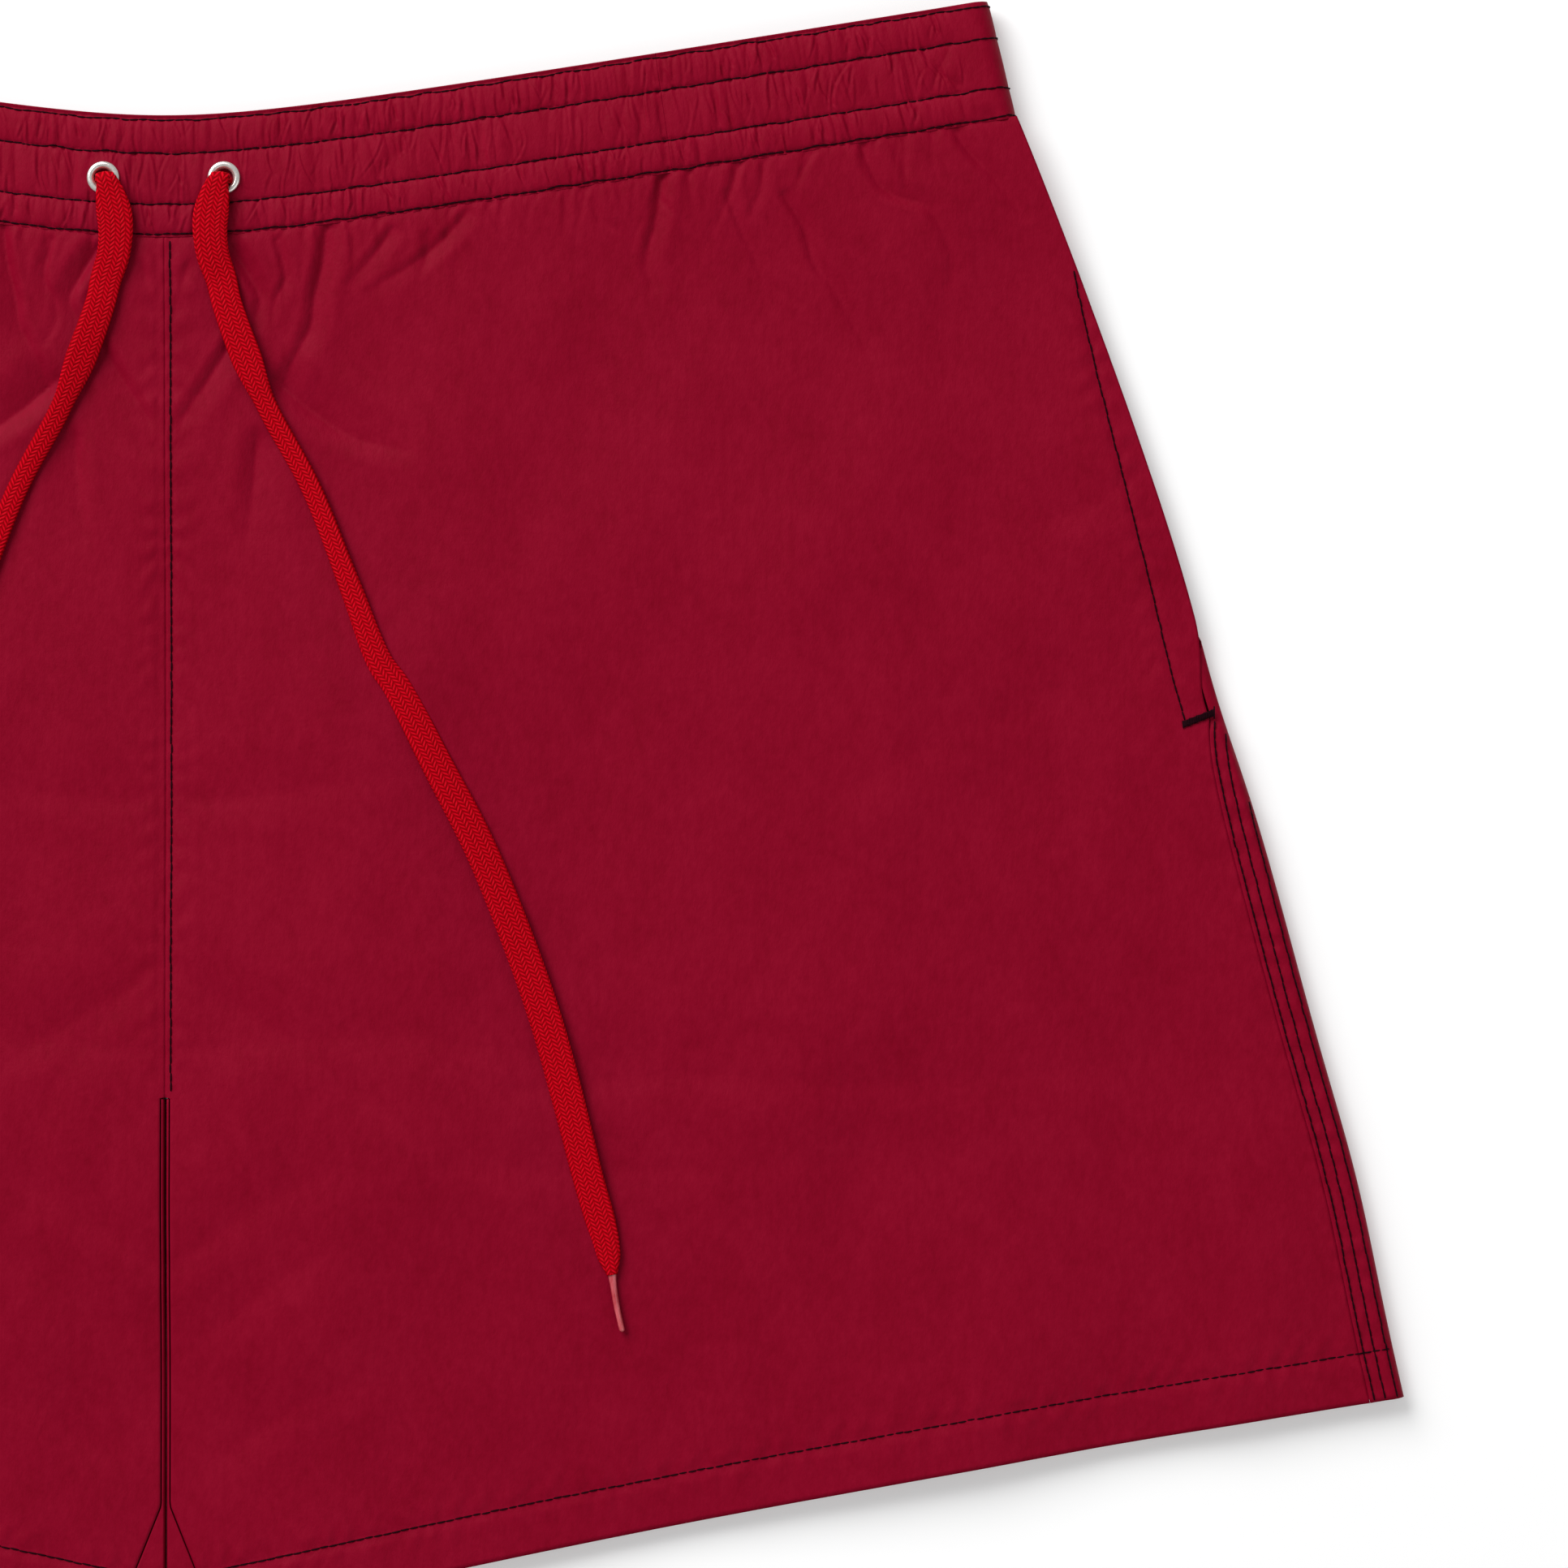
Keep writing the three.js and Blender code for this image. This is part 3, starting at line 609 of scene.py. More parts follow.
def build_cord(name, side):
    count, around = 1200, 60
    path, length = spline([(side * x * MM, SHIFT + y * MM, z) for x, y, z in CORD_ROUTE], count)
    run = np.linspace(0, length, count)
    places, widths = zip(*CORD_WIDTHS)
    width = np.interp(run / MM, np.array(places) * length / (places[-1] * MM), widths) * MM
    kernel = np.hanning(25)
    width = np.convolve(np.pad(width, 12, "edge"), kernel / kernel.sum(), "valid")
    thick = np.clip(CORD_THICK * (1 + 0.45 * (1 - width / (9.8 * MM))), 0, 2.9 * MM)
    thick = np.minimum(thick, np.maximum(width, 2.0 * MM))
    ahead = unit(np.gradient(path, axis=0))
    level = np.stack([ahead[:, 1], -ahead[:, 0], 0 * run], -1)
    level[:20] = level[60]
    level = unit(level)
    up = np.cross(level, ahead)
    roll = 0.22 * np.sin(run / (34 * MM) + 0.6 + side) * smooth(run, 0.02, 0.06)
    across = level * np.cos(roll)[:, None] + up * np.sin(roll)[:, None]
    over = np.cross(across, ahead)
    angle = circle(around)
    c, s = np.cos(angle), np.sin(angle)
    flat = np.sign(c) * np.abs(c) ** 0.75
    rise = np.sign(s) * np.abs(s) ** 0.65
    t = flat[None, :] * width[:, None] / 2
    lift = BRAID_DEPTH * np.sin(2 * np.pi * run[:, None] / STRAND) * np.cos(np.pi * t / LANE)
    bow = 0.16 * (1 - (flat ** 2))[None, :] * (1 - np.abs(rise))[None, :]
    sideways = t + flat[None, :] * lift
    upwards = rise[None, :] * (thick[:, None] / 2 + lift) + bow * MM
    obj = tube(name, rings_round(path, across, over, sideways, upwards), red_braid)
    tips = [0.0, length]
    for key, values in (("along", np.broadcast_to(run[:, None], t.shape)), ("across", t)):
        attribute = obj.data.attributes.new(key, "FLOAT", "POINT")
        attribute.data.foreach_set("value", np.concatenate([values.ravel(), tips]))
    return obj, path, length


def build_aglet(name, side, end, ahead):
    """Film-wrapped tip: a slim tube, flattened where it grips the cord, with a rolled far end."""
    steps = np.linspace(0, 1, 40)
    grip = 0.12 * bell(steps, 0.08)
    profile = AGLET_RADIUS * (0.86 + grip - 0.10 * smooth(steps, 0.2, 0.9))
    profile *= np.sqrt(np.clip(1 - ((steps - 0.965) / 0.035).clip(0, 1) ** 2 * 0.8, 0.05, 1))
    angle = circle(24)
    across = np.array([ahead[1], -ahead[0], 0])
    squeeze = lerp(1.25, 1.0, smooth(steps, 0, 0.3))
    seam = 1 + 0.07 * bell(angle - 0.9, 0.18)
    middle = end + ahead * (GAP - 1.2 * MM) + steps[:, None] * ahead * AGLET_LENGTH
    bend = 0.35 * MM * np.sin(np.pi * steps) * side
    middle = middle + bend[:, None] * across
    middle[:, 2] = ON_PANEL - CORD_THICK / 2 + AGLET_RADIUS
    wide = (profile * squeeze)[:, None] * np.cos(angle) * seam
    high = (profile / squeeze)[:, None] * np.sin(angle) * seam
    rings = rings_round(middle, across, UP, wide, high)
    obj = tube(name, rings[:, ::-1], clear_red_film)
    return obj


def build_cords():
    for label, side in SIDES:
        cord, path, length = build_cord(f"braided_cord_{label}", side)
        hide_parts(f"drawcord_free_{label}")
        ahead = path[-1] - path[-12]
        ahead[2] = 0
        aglet = build_aglet(f"cord_tip_{label}", side, path[-1], unit(ahead))
        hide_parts(f"aglet_{label}")


build_cords()

# ---- Relief of the cloth ----

# Folds that fall from the waistband: points in millimetres from the middle of the waist edge,
# with the height of the fold and its half width. A fold is lit on one flank and dark on the other.
FOLDS = [
    ([(47.5, -33), (46.5, -43), (44, -54), (43, -62), (38.5, -71), (34, -81)], 2.0, 1.9),
    ([(33, -37), (35.5, -48), (32.5, -55), (32, -61), (36, -68)], 0.9, 1.1),
    ([(20, -40), (25, -48), (28, -54.5), (25.5, -62)], 2.0, 1.7),
    ([(20, -66), (12, -79), (5.5, -89), (3.5, -97)], 1.3, 2.0),
    ([(27, -96), (26, -108), (24, -124)], 1.5, 3.2),
    ([(33, -79), (44, -88), (55, -95), (70, -99)], 2.1, 3.4),
    ([(7, -44), (4.5, -52), (2.5, -58)], 0.5, 1.0),
    ([(67, -34), (62, -41), (54, -50)], 0.9, 1.4),
    ([(89, -29), (84, -35), (76, -42), (67, -48), (60, -52)], 0.9, 1.4),
    ([(78, -36), (77, -43), (75, -49)], 0.9, 2.0),
    ([(118, -24), (118, -31), (117, -36)], 0.35, 0.8),
    ([(125.5, -26), (129.5, -32), (134.5, -35), (139.8, -44)], 0.45, 1.0),
    ([(146.5, -17), (145, -30), (142, -44), (144, -51)], 1.5, 1.6),
    ([(166, -23), (169, -31.5), (173.5, -41), (176.5, -48), (182.5, -53), (188, -56)], 0.6, 1.1),
    ([(177, -14), (175.7, -23), (172.5, -30)], 0.6, 1.0),
    ([(183, -24), (188.5, -33), (192, -44), (198, -52), (204, -63), (208, -71)], 1.1, 1.5),
    ([(205.5, -9), (210.5, -20), (215.5, -24), (224.5, -27), (229, -33), (232, -41), (232, -49)],
     1.1, 1.7),
    ([(218.3, -7), (218.3, -22)], 0.5, 0.9),
    ([(232.5, -4), (237.7, -11.4), (244.3, -18), (253.5, -30)], 1.2, 1.6),
]
# Long faint creases, where the garment was folded or pressed.
CREASES = [
    ([(8, -203), (32, -201), (76, -193)], 0.5, 4.5),
    ([(4, -254), (38, -274), (64, -294), (86, -309)], 0.6, 5),
    ([(12, -276), (60, -272), (130, -278), (190, -270)], 0.5, 6),
    ([(105, -288), (150, -284), (215, -286), (325, -277)], 0.6, 5.5),
    ([(86, -311), (143, -312), (210, -309)], 0.5, 5),
    ([(3, -340), (30, -321), (54, -311)], 0.6, 5),
    ([(14, -262), (34, -290), (40, -320)], 0.5, 6),
    ([(14, -360), (34, -344), (54, -335)], 0.5, 5),
    ([(20, -395), (42, -380), (70, -372)], 0.6, 5),
    ([(157, -119), (160, -150), (162, -181)], 0.45, 6),
    ([(222, -174), (224, -205), (222, -237)], 0.5, 6),
    ([(120, -150), (128, -190), (126, -230)], 0.4, 7),
    ([(285, -200), (305, -216), (320, -236), (326, -266)], 0.6, 6),
    ([(262, -120), (280, -112), (296, -100)], 0.5, 5),
    ([(200, -200), (240, -180), (300, -160)], 0.45, 7),
]


def crease_shape(across, width):
    """A valley with a steep wall on its left, a long gentle one on its right, and soft lips."""
    wall = np.where(across < 0, 0.75 * width, 1.7 * width)
    valley = np.exp(-(np.abs(across) / wall) ** 1.15)
    left_lip = bell(across + 1.7 * width, 0.8 * width)
    right_lip = bell(across - 3.4 * width, 1.4 * width)
    return 0.22 * left_lip + 0.28 * right_lip - valley


def hanging_creases(x, below):
    """Creases that hang from the waistband, each with its own lean, bow and length."""
    rng = np.random.default_rng(31)
    total = np.zeros(x.shape)
    for _ in range(110):
        place = rng.uniform(0, CREASED_HALF)
        lean = rng.normal(0, 0.30)
        bow = rng.normal(0, 6)
        length = (3 + 16 * rng.uniform() ** 2.5) * MM
        width = rng.uniform(0.4, 0.7) * MM * (1 + length / (28 * MM))
        depth = rng.uniform(0.2, 0.5) * width
        turn = rng.choice([-1, 1], p=[0.3, 0.7])
        near = (np.abs(x - place) < 22 * MM) & (below < 2.2 * length)
        drop = below[near]
        off = x[near] - place - lean * drop - bow * drop ** 2
        total[near] += depth * crease_shape(turn * off, width) * bell(drop, length)
    return total


def fold_height(x, y, points, height, width):
    """A crease along a line, traced downwards, fading towards both ends."""
    line, _ = spline([(px * MM, py * MM, 0) for px, py in points], 40)
    low = line.min(0)[:2] - 4 * width * MM
    high = line.max(0)[:2] + 4 * width * MM
    result = np.zeros(x.shape)
    near = (x > low[0]) & (x < high[0]) & (y > low[1]) & (y < high[1])
    px, py = x[near], y[near]
    best = np.full(px.shape, 1e9)
    signed = np.zeros(px.shape)
    place = np.zeros(px.shape)
    ahead = unit(np.gradient(line[:, :2], axis=0))
    for i, (qx, qy) in enumerate(line[:, :2]):
        dx, dy = px - qx, py - qy
        distance = dx * dx + dy * dy
        closer = distance < best
        best = np.where(closer, distance, best)
        signed = np.where(closer, dx * ahead[i, 1] - dy * ahead[i, 0], signed)
        place = np.where(closer, i / (len(line) - 1), place)
    w = width * MM
    overshoot = np.maximum(best - signed ** 2, 0)
    fade = np.exp(-overshoot / w ** 2) * np.clip(1.25 - place, 0, 1) * smooth(place + 0.25, 0, 0.35)
    result[near] = height * MM * crease_shape(-signed, w) * fade
    return result


broad = waves(3, 150 * MM)
rolling = waves(4, 62 * MM)
slack = waves(5, 26 * MM, stretch=2.2)
streaky = waves(6, 7.5 * MM, 36, stretch=4.5)
fine = waves(7, 3.6 * MM, 40, stretch=3.5)
gather_drift = waves(8, 22 * MM)
gather_share = waves(9, 19 * MM)
gather_lean = waves(12, 45 * MM)
pucker_drift = waves(10, 30 * MM)


def crest(phase):
    """Round crests with sharp valleys between them, about zero on average."""
    return np.abs(np.sin(phase)) ** 0.6 - 0.72


def gathers(x, below):
    """Pleats that hang from the waistband and die out below it."""
    ease = 1 - smooth(np.abs(x), *GATHERED_HALF)
    lean = 0.35 * below * gather_lean(x, 0 * below)
    drift = gather_drift(x, 0.35 * below)
    tight = crest(np.pi * (x + lean) / (4.4 * MM) + 1.5 * drift)
    wide_drift = gather_drift(x * 0.7, 0.3 * below + 0.2)
    wide = crest(np.pi * (x + 1.3 * lean) / (10.5 * MM) + 1.6 * wide_drift)
    share = np.clip(0.65 + 0.55 * gather_share(x, 0.25 * below), 0, 1.5)
    reach = np.clip(1 + 0.5 * gather_share(x * 0.8 + 0.3, 0 * below), 0.4, 1.8)
    short = 0.24 * MM * tight * np.exp(-below / (5 * MM * reach))
    long = 0.14 * MM * wide * np.exp(-below / (22 * MM * reach)) * smooth(below, 0, 10 * MM)
    return ease * share * (short + long)


def stitch_pinch(distance, along, depth=0.35 * MM, width=1.3 * MM, pucker=0.22 * MM):
    """The cloth drawn down along a row of stitches, with small puckers beside it."""
    puckers = np.sin(2 * np.pi * along / (8.5 * MM) + 2 * pucker_drift(along, distance * 2))
    near = bell(distance, width)
    wide = bell(distance, 4.5 * width)
    return -depth * near + pucker * puckers * (wide - near)


def relief(x, y, v):
    """Height of the cloth over its resting surface, on the front below the waistband."""
    drop = y - SHIFT
    below = np.maximum(0, leg_y(x, np.zeros_like(v)) - y)
    total = 0.9 * MM * broad(x, drop) + 0.40 * MM * rolling(x, drop) * smooth(below, 0, 0.05)
    total += 0.10 * MM * slack(x, drop) + 0.016 * MM * streaky(x, drop)
    total += 0.012 * MM * fine(x, drop)
    total *= smooth(below, 0, 0.03) * (0.35 + 0.65 * smooth(side_line(v) - x, 0, 0.05))
    total += gathers(x, below) + hanging_creases(x, below)
    total += 0.5 * MM * (1 - np.exp(-below / (2 * MM))) * np.exp(-below / (14 * MM))
    for points, height, width in FOLDS + CREASES:
        total += fold_height(x, drop, points, height, width)
    total *= smooth(below, -0.2 * MM, 1.6 * MM)
    total = np.maximum(total, -FOLD_LIMIT)
    hem = leg_y(x, np.ones_like(v)) + HEM_DEPTH
    total += stitch_pinch(y - hem, x, 0.4 * MM, pucker=0.32 * MM)
    total += 0.25 * MM * smooth(hem - y, 0, 1.5 * MM)
    joined = 1 - smooth(v, CROTCH - 0.03, CROTCH)
    total += joined * stitch_pinch(x - CENTRE_STITCH, y, 0.3 * MM)
    total -= joined * 0.25 * MM * bell(x, 0.5 * MM)
    total += pocket_share(v) * stitch_pinch(side_line(v) - x - pocket_inset(v), y)
    lower = smooth(v, POCKET_END + 0.005, POCKET_END + 0.03)
    for offset in SIDE_ROWS:
        total += lower * stitch_pinch(x - side_row_x(v, offset), y, 0.2 * MM, 0.8 * MM)
    total += lower * 0.3 * MM * bell(x - seam_x(v) - 0.8 * MM, 0.9 * MM)
    return total


def pocket_share(v):
    """1 beside the pocket mouth, easing off at both of its ends."""
    opened = smooth(v, POCKET_TOP, POCKET_TOP + 0.05)
    return opened * (1 - smooth(v, POCKET_END - 0.01, POCKET_END + 0.01))


def pocket_inset(v):
    share = np.clip((v - POCKET_TOP) / (POCKET_END - POCKET_TOP), 0, 1)
    return lerp(POCKET_STITCH_TOP, POCKET_STITCH, np.sin(share * np.pi / 2) ** 0.8)


def side_row_x(v, offset):
    return seam_x(v) + offset


def side_row_start(offset):
    """Where on the leg the wrap is first wide enough to show this row."""
    v = np.linspace(POCKET_END, 1, 400)
    return float(v[np.argmax(side_wrap(v) > offset + 0.9 * MM)])


def front_top(x, v):
    """Height of the visible front surface."""
    edge = side_line(v) - x
    sag = 0.9 * MM * (1 - smooth(edge, 0, 12 * MM)) * pocket_share(v)
    return front_z(v) + CLOTH + relief(x, leg_y(x, v), v) - sag


# ---- Panels ----

inner_fold_x = GAP / 3 + INNER_FOLD + CLOTH / 2


def side_fold_x(v):
    return side_line(v) - SIDE_FOLD - CLOTH / 2


def leg_rows():
    """Stops down the leg: close together under the waistband and wherever an edge steps."""
    steps = [POCKET_TOP, POCKET_TOP + NOTCH, POCKET_END - NOTCH, POCKET_END, CROTCH, CROTCH + NOTCH]
    return np.unique(np.append(stops([(0, 0.28, 150), (0.28, 1, 179)], 1), steps).round(6))


def front_panel(label, side):
    v = leg_rows()[:, None]
    u = np.linspace(0, 1, 400)[None, :]
    inner = np.where(v < CROTCH, 0, inner_fold_x + inseam_wrap(v) + GAP * 1.3)
    drawn = smooth(v, POCKET_END - SLIT, POCKET_END + 0.004)
    outer = lerp(side_line(v) - 0.3 * MM, seam_x(v) - GAP / 4, drawn)
    outer = outer - 0.7 * MM * bell(v - POCKET_END + 0.022, 0.018)
    x = lerp(inner, outer, u)
    v = np.broadcast_to(v, x.shape)
    y = leg_y(x, v, -0.3 * MM)
    face = np.stack([x, y, front_top(x, v)], -1)
    back = face - np.array([0, 0, PLY])
    obj = place_shell(f"front_cloth_{label}", face, back, side)
    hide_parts(f"front_panel_{label}")


def place_shell(name, face, back, side, material=shell_fabric):
    if side < 0:
        face, back = mirror(face), mirror(back)
    obj = shell(name, face, back, material, flip=side > 0)
    return obj


def fold_path(q, v, w, reach, wrap, flap):
    """Offset outwards, and height, round a fold (q 0 to 1) and along the flap (q 1 to 2)."""
    rise = front_z(v) / 2
    last = np.pi * (wrap - 0.5)
    angle = np.where(q < 1, lerp(-np.pi / 2, last, np.minimum(q, 1)), last)
    along = np.maximum(0, q - 1) * flap * wrap
    out = (reach + w) * np.cos(angle) - along * np.sin(angle)
    up = (rise + w) * np.sin(angle) + along * np.cos(angle)
    return out, CLOTH / 2 + rise + up


def back_panel(label, side):
    v = leg_rows()[:, None]
    q = stops([(-2, -1, 12), (-1, 0, 14), (0, 1, 70), (1, 2, 14), (2, 3, 13)], 3)[None, :]
    inner_edge = np.where(v > CROTCH, inner_fold_x, GAP)
    inner_share = np.where(v > CROTCH, 1, BARE)
    closing = smooth(v, POCKET_END - SLIT, POCKET_END - SLIT / 2)
    side_share = np.where(v < POCKET_TOP, 1, lerp(BARE, 1, closing))
    side_flap = np.where(v < POCKET_END, HIP_FLAP, side_wrap(v) - SIDE_FOLD - CLOTH / 2)
    lattices = []
    for w in (CLOTH / 2, CLOTH / 2 - PLY):
        out_in, z_in = fold_path(np.maximum(-q, 0), v, w, INNER_FOLD, inner_share, inseam_wrap(v))
        out_side, z_side = fold_path(np.maximum(q - 1, 0), v, w, SIDE_FOLD, side_share, side_flap)
        x = np.where(q < 0, inner_edge - out_in, np.where(
            q > 1, side_fold_x(v) + out_side, lerp(inner_edge, side_fold_x(v), q)))
        z = np.where(q < 0, z_in, np.where(q > 1, z_side, CLOTH / 2 - w))
        x, z, vv, qq = np.broadcast_arrays(x, z, v, q)
        y = leg_y(x, vv, 0.1 * MM)
        facing = np.clip((z - front_z(vv) / 2) / (front_z(vv) / 2), 0, 1) ** 2
        lift = relief(x, y, vv) * facing
        tucked = 1.1 * MM * (1 - smooth(vv, POCKET_END, POCKET_END + 0.010)) * (qq > 1)
        lift = lift - tucked * facing
        floor = 0.25 * MM * (1 + np.clip(rolling(x, y), -1, 1)) * np.clip(1 - z / MM, 0, 1)
        lattices.append(np.stack([x, y, z + lift + floor], -1))
    face, back = lattices
    obj = place_shell(f"back_cloth_{label}", face, back, side)
    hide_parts(f"back_panel_{label}")


# ---- Waistband ----

# Between two rows: pitch of the gathers, how far they slant, and how high they stand.
CHANNELS = [
    (ROWS[0], ROWS[1], 3.4 * MM, 0.15, 0.62 * MM),
    (ROWS[1], ROWS[2], 5.2 * MM, 0.20, 0.85 * MM),
    (ROWS[2], ROWS[3], 4.2 * MM, 0.18, 0.72 * MM),
]
PUFF = 0.75 * MM           # how far a channel stands proud of its stitched rows
ROW_HALF = 0.5 * MM        # half the thickness of the band where it is stitched flat

drift_one = waves(21, 24 * MM)
drift_two = waves(22, 24 * MM)
lean_wave = waves(25, 30 * MM)
share_wave = waves(23, 18 * MM)
row_wobble = waves(24, 9 * MM)


def ring_run(a):
    """Distance round the ring from the middle of the front."""
    straight = WAIST_HALF - TURN
    turn = np.pi * TURN
    leg = np.floor(a)
    part = a - leg
    starts = np.array([-straight, straight, straight + turn, 3 * straight + turn])
    spans = np.array([2 * straight, turn, 2 * straight, turn])
    lap = np.floor(a / 4) * (4 * straight + 2 * turn)
    k = (leg % 4).astype(int)
    return lap + starts[k] + part * spans[k]


def band_end(run):
    """1 where the band turns over at the sides of the garment, and lies flat."""
    side = np.abs(run)
    return smooth(side, *BAND_TURN[:2]) * (1 - smooth(side, *BAND_TURN[2:]))


def band_creases(run, d, start, end):
    """Sharp creases across a channel, each a narrow valley with a raised lip."""
    rng = np.random.default_rng(int(start * 1e5))
    total = np.zeros(run.shape)
    reach = (end - start) / 2
    low, high = run.min(), run.max()
    for _ in range(int((high - low) / (2.6 * MM))):
        place = rng.uniform(low, high)
        middle = rng.uniform(start + 0.3 * reach, end - 0.3 * reach)
        half = reach * rng.uniform(0.35, 1.1)
        lean = rng.normal(0, 0.22)
        bow = rng.normal(0, 25)
        depth = rng.uniform(0.12, 0.42) * MM
        width = rng.uniform(0.28, 0.5) * MM
        lip = rng.choice([-1, 1]) * 1.9 * width
        columns = np.abs(run[:, 0] - place) < 6 * MM
        part, deep = run[columns], d[columns] - middle
        off = part - place - lean * deep - bow * deep ** 2
        fade = np.clip(1 - (deep / half) ** 2, 0, 1) ** 0.7
        valley = bell(off, width) - 0.7 * bell(off - lip, 1.2 * width)
        total[columns] -= depth * fade * valley
    return total


def ruche(run, d):
    """Gathers of the casing over the elastic: round crests and sharp valleys that cross."""
    total = np.zeros(np.broadcast(run, d).shape)
    for start, end, pitch, slant, height in CHANNELS:
        t = np.clip((d - start) / (end - start), 0, 1)
        lane = start * 40 + 0 * run
        lean = slant * (d - (start + end) / 2) * lean_wave(run, lane)
        one = crest(np.pi * (run + lean) / pitch + 1.4 * drift_one(run, lane))
        two = crest(np.pi * (run - 1.6 * lean) / (1.8 * pitch) + 1.6 * drift_two(run, lane))
        small = crest(np.pi * (run + lean) / (0.6 * pitch) + 1.5 * drift_two(run * 1.2, lane))
        share = np.clip(0.75 + 0.5 * share_wave(run, 0.4 * d + lane), 0.12, 1.4)
        middle = np.sin(np.pi * t) ** 0.45
        from_row = np.minimum(np.abs(d - start), np.abs(end - d))
        at_row = np.exp(-from_row / (2.0 * MM)) * (t > 0) * (t < 1)
        total += height * share * ((0.7 * one + 0.8 * two) * middle + 0.5 * small * at_row)
        total += band_creases(run, d, start, end)
    return total * (1 - band_end(run))


def band_half(d):
    """Half the thickness of the band at a depth: full in the channels, thin at the rows."""
    half = np.where(d < ROWS[0], ROW_HALF * np.sqrt(np.clip(d / ROWS[0], 0.05, 1)), ROW_HALF)
    half = np.where(d > ROWS[-1], 0.92 * ROW_HALF, half)
    for start, end, *_ in CHANNELS:
        t = np.clip((d - start) / (end - start), 0, 1)
        half = half + PUFF * np.sin(np.pi * t) ** 0.5
    return half


def eyelet_distance(x, d):
    return np.hypot(np.abs(x) - EYELET_X, d - EYELET_DEPTH)


def band_face(a, d):
    """Outward coordinate of the casing's outer face."""
    run = ring_run(a)
    middle = BAND_THICK / 2
    w = middle + band_half(d) + ruche(run, d)
    dimple = 0.16 * MM * np.abs(np.sin(np.pi * run / (3.1 * MM) + 2 * drift_one(run, 0 * run)))
    for row in ROWS:
        w = w - dimple * bell(d - row, 0.7 * MM)
    seam = np.minimum(np.abs(run - BAND_SEAM), np.abs(run + BAND_SEAM))
    stitched = smooth(d, ROWS[1] - 1 * MM, ROWS[1])
    w = w - 0.75 * MM * bell(seam, 0.55 * MM) * stitched
    from_row = np.min([np.abs(d - row) for row in ROWS], axis=0)
    w = np.maximum(w, middle + 0.74 * MM * smooth(from_row, 0.5 * MM, 1.3 * MM))
    tuck = smooth(d, ROWS[3] - 5 * MM, ROWS[3]) * (1 - smooth(np.abs(run), 0.2385, 0.2415))
    flat_end = lerp(BAND_THICK - 0.2 * MM, middle + ROW_HALF, tuck)
    w = lerp(w, flat_end - 0.25 * MM * bell(d, 0.8 * MM), 0.85 * band_end(run))
    away = eyelet_distance(run, d)
    flat = smooth(away, EYELET_FLANGE - 0.5 * MM, EYELET_FLANGE + 2.2 * MM)
    w = lerp(BAND_THICK - 0.15 * MM, w, flat)
    return np.where(away < EYELET_BORE + 0.2 * MM, middle - 0.4 * MM, w)


def band_piece(name, end, columns, replaced):
    d = np.linspace(0, BAND_DEPTH + 0.2 * MM, 90)[None, :]
    a, d = np.broadcast_arrays(stops(columns, end)[:, None], d)
    face = np.stack(ring_point(a, d, band_face(a, d)), -1)
    inner = BAND_THICK / 2 - 0.8 * band_half(d) - 0.3 * ruche(ring_run(a) + 2 * MM, d)
    back = np.stack(ring_point(a, d, inner), -1)
    face[..., 2] = np.maximum(face[..., 2], 0)
    obj = shell(name, face, back, shell_fabric)
    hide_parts(replaced)


def waistband():
    left, right = ring_at(-BAND_SEAM, 0), ring_at(BAND_SEAM, 0)
    band_piece("band_front_casing", right, [(left, right, 860)], "waistband_front")
    columns = [(right, 1, 290), (1, 2, 30), (2, 3, 900), (3, 4, 30), (4, 4 + left, 290)]
    left = 4 + left
    band_piece("band_back_casing", left, columns, "waistband_back")


# ---- Stitching ----

stitch_rng = np.random.default_rng(77)


def stitch_row(name, line, replaced, normals=None):
    """Separate thread loops along a line on the cloth, each dipping into it at both ends."""
    run = distances(line)
    count = int(run[-1] / STITCH)
    share = np.linspace(0.01, 0.99, 6)
    lift = np.array([-0.16, 0.03, 0.11, 0.11, 0.03, -0.16]) * MM
    girth = np.array([0.85, 1, 1.05, 1.05, 1, 0.85]) * THREAD
    at = (np.arange(count)[:, None] + share[None, :]) * (run[-1] / count)
    centre = read_off(line, run, at)
    normal = np.broadcast_to(UP, centre.shape)
    if normals is not None:
        normal = unit(read_off(normals, run, at))
    ahead = unit(np.gradient(centre, axis=1))
    across = np.cross(ahead, normal)
    wander = stitch_rng.normal(0, 0.06 * MM, (count, 1, 1))
    centre = centre + across * wander + normal * lift[None, :, None]
    around = 6
    angle = circle(around)
    wide = girth[None, :, None] * np.cos(angle)
    high = girth[None, :, None] * np.sin(angle)
    rings = rings_round(centre, across, normal, wide, high)
    size = len(share) * around
    loop = grid_faces(len(share), around, wrap=True)[:, ::-1].tolist()
    loop += [list(range(around)), list(range(size - 1, size - 1 - around, -1))]
    faces = []
    for k in range(count):
        faces += [[index + k * size for index in face] for face in loop]
    obj = make_object(name, rings.reshape(-1, 3).tolist(), faces, dark_thread)
    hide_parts(replaced)


def panel_line(side, x, v):
    """A line on the front of the leg, just over the cloth."""
    x, v = np.broadcast_arrays(x, v)
    line = np.stack([x, leg_y(x, v), front_top(x, v) + THREAD * 0.55], -1)
    return mirror(line) if side < 0 else line


def waist_rows():
    a = stops([(0, 1, 900), (1, 2, 40), (2, 3, 900), (3, 4, 40)], 4 - 1e-6)
    for i, row in enumerate(ROWS):
        d = row + 0.16 * MM * row_wobble(ring_run(a), 0 * a + row * 40)
        w = band_face(a[:, None], d[:, None])[:, 0] + THREAD * 0.5
        line = np.stack(ring_point(a, d, w), -1)
        outer = np.stack(ring_point(a, d, w + MM), -1)
        stitch_row(f"waist_thread_{i + 1}", line, f"waist_stitch_{i + 1}", outer - line)


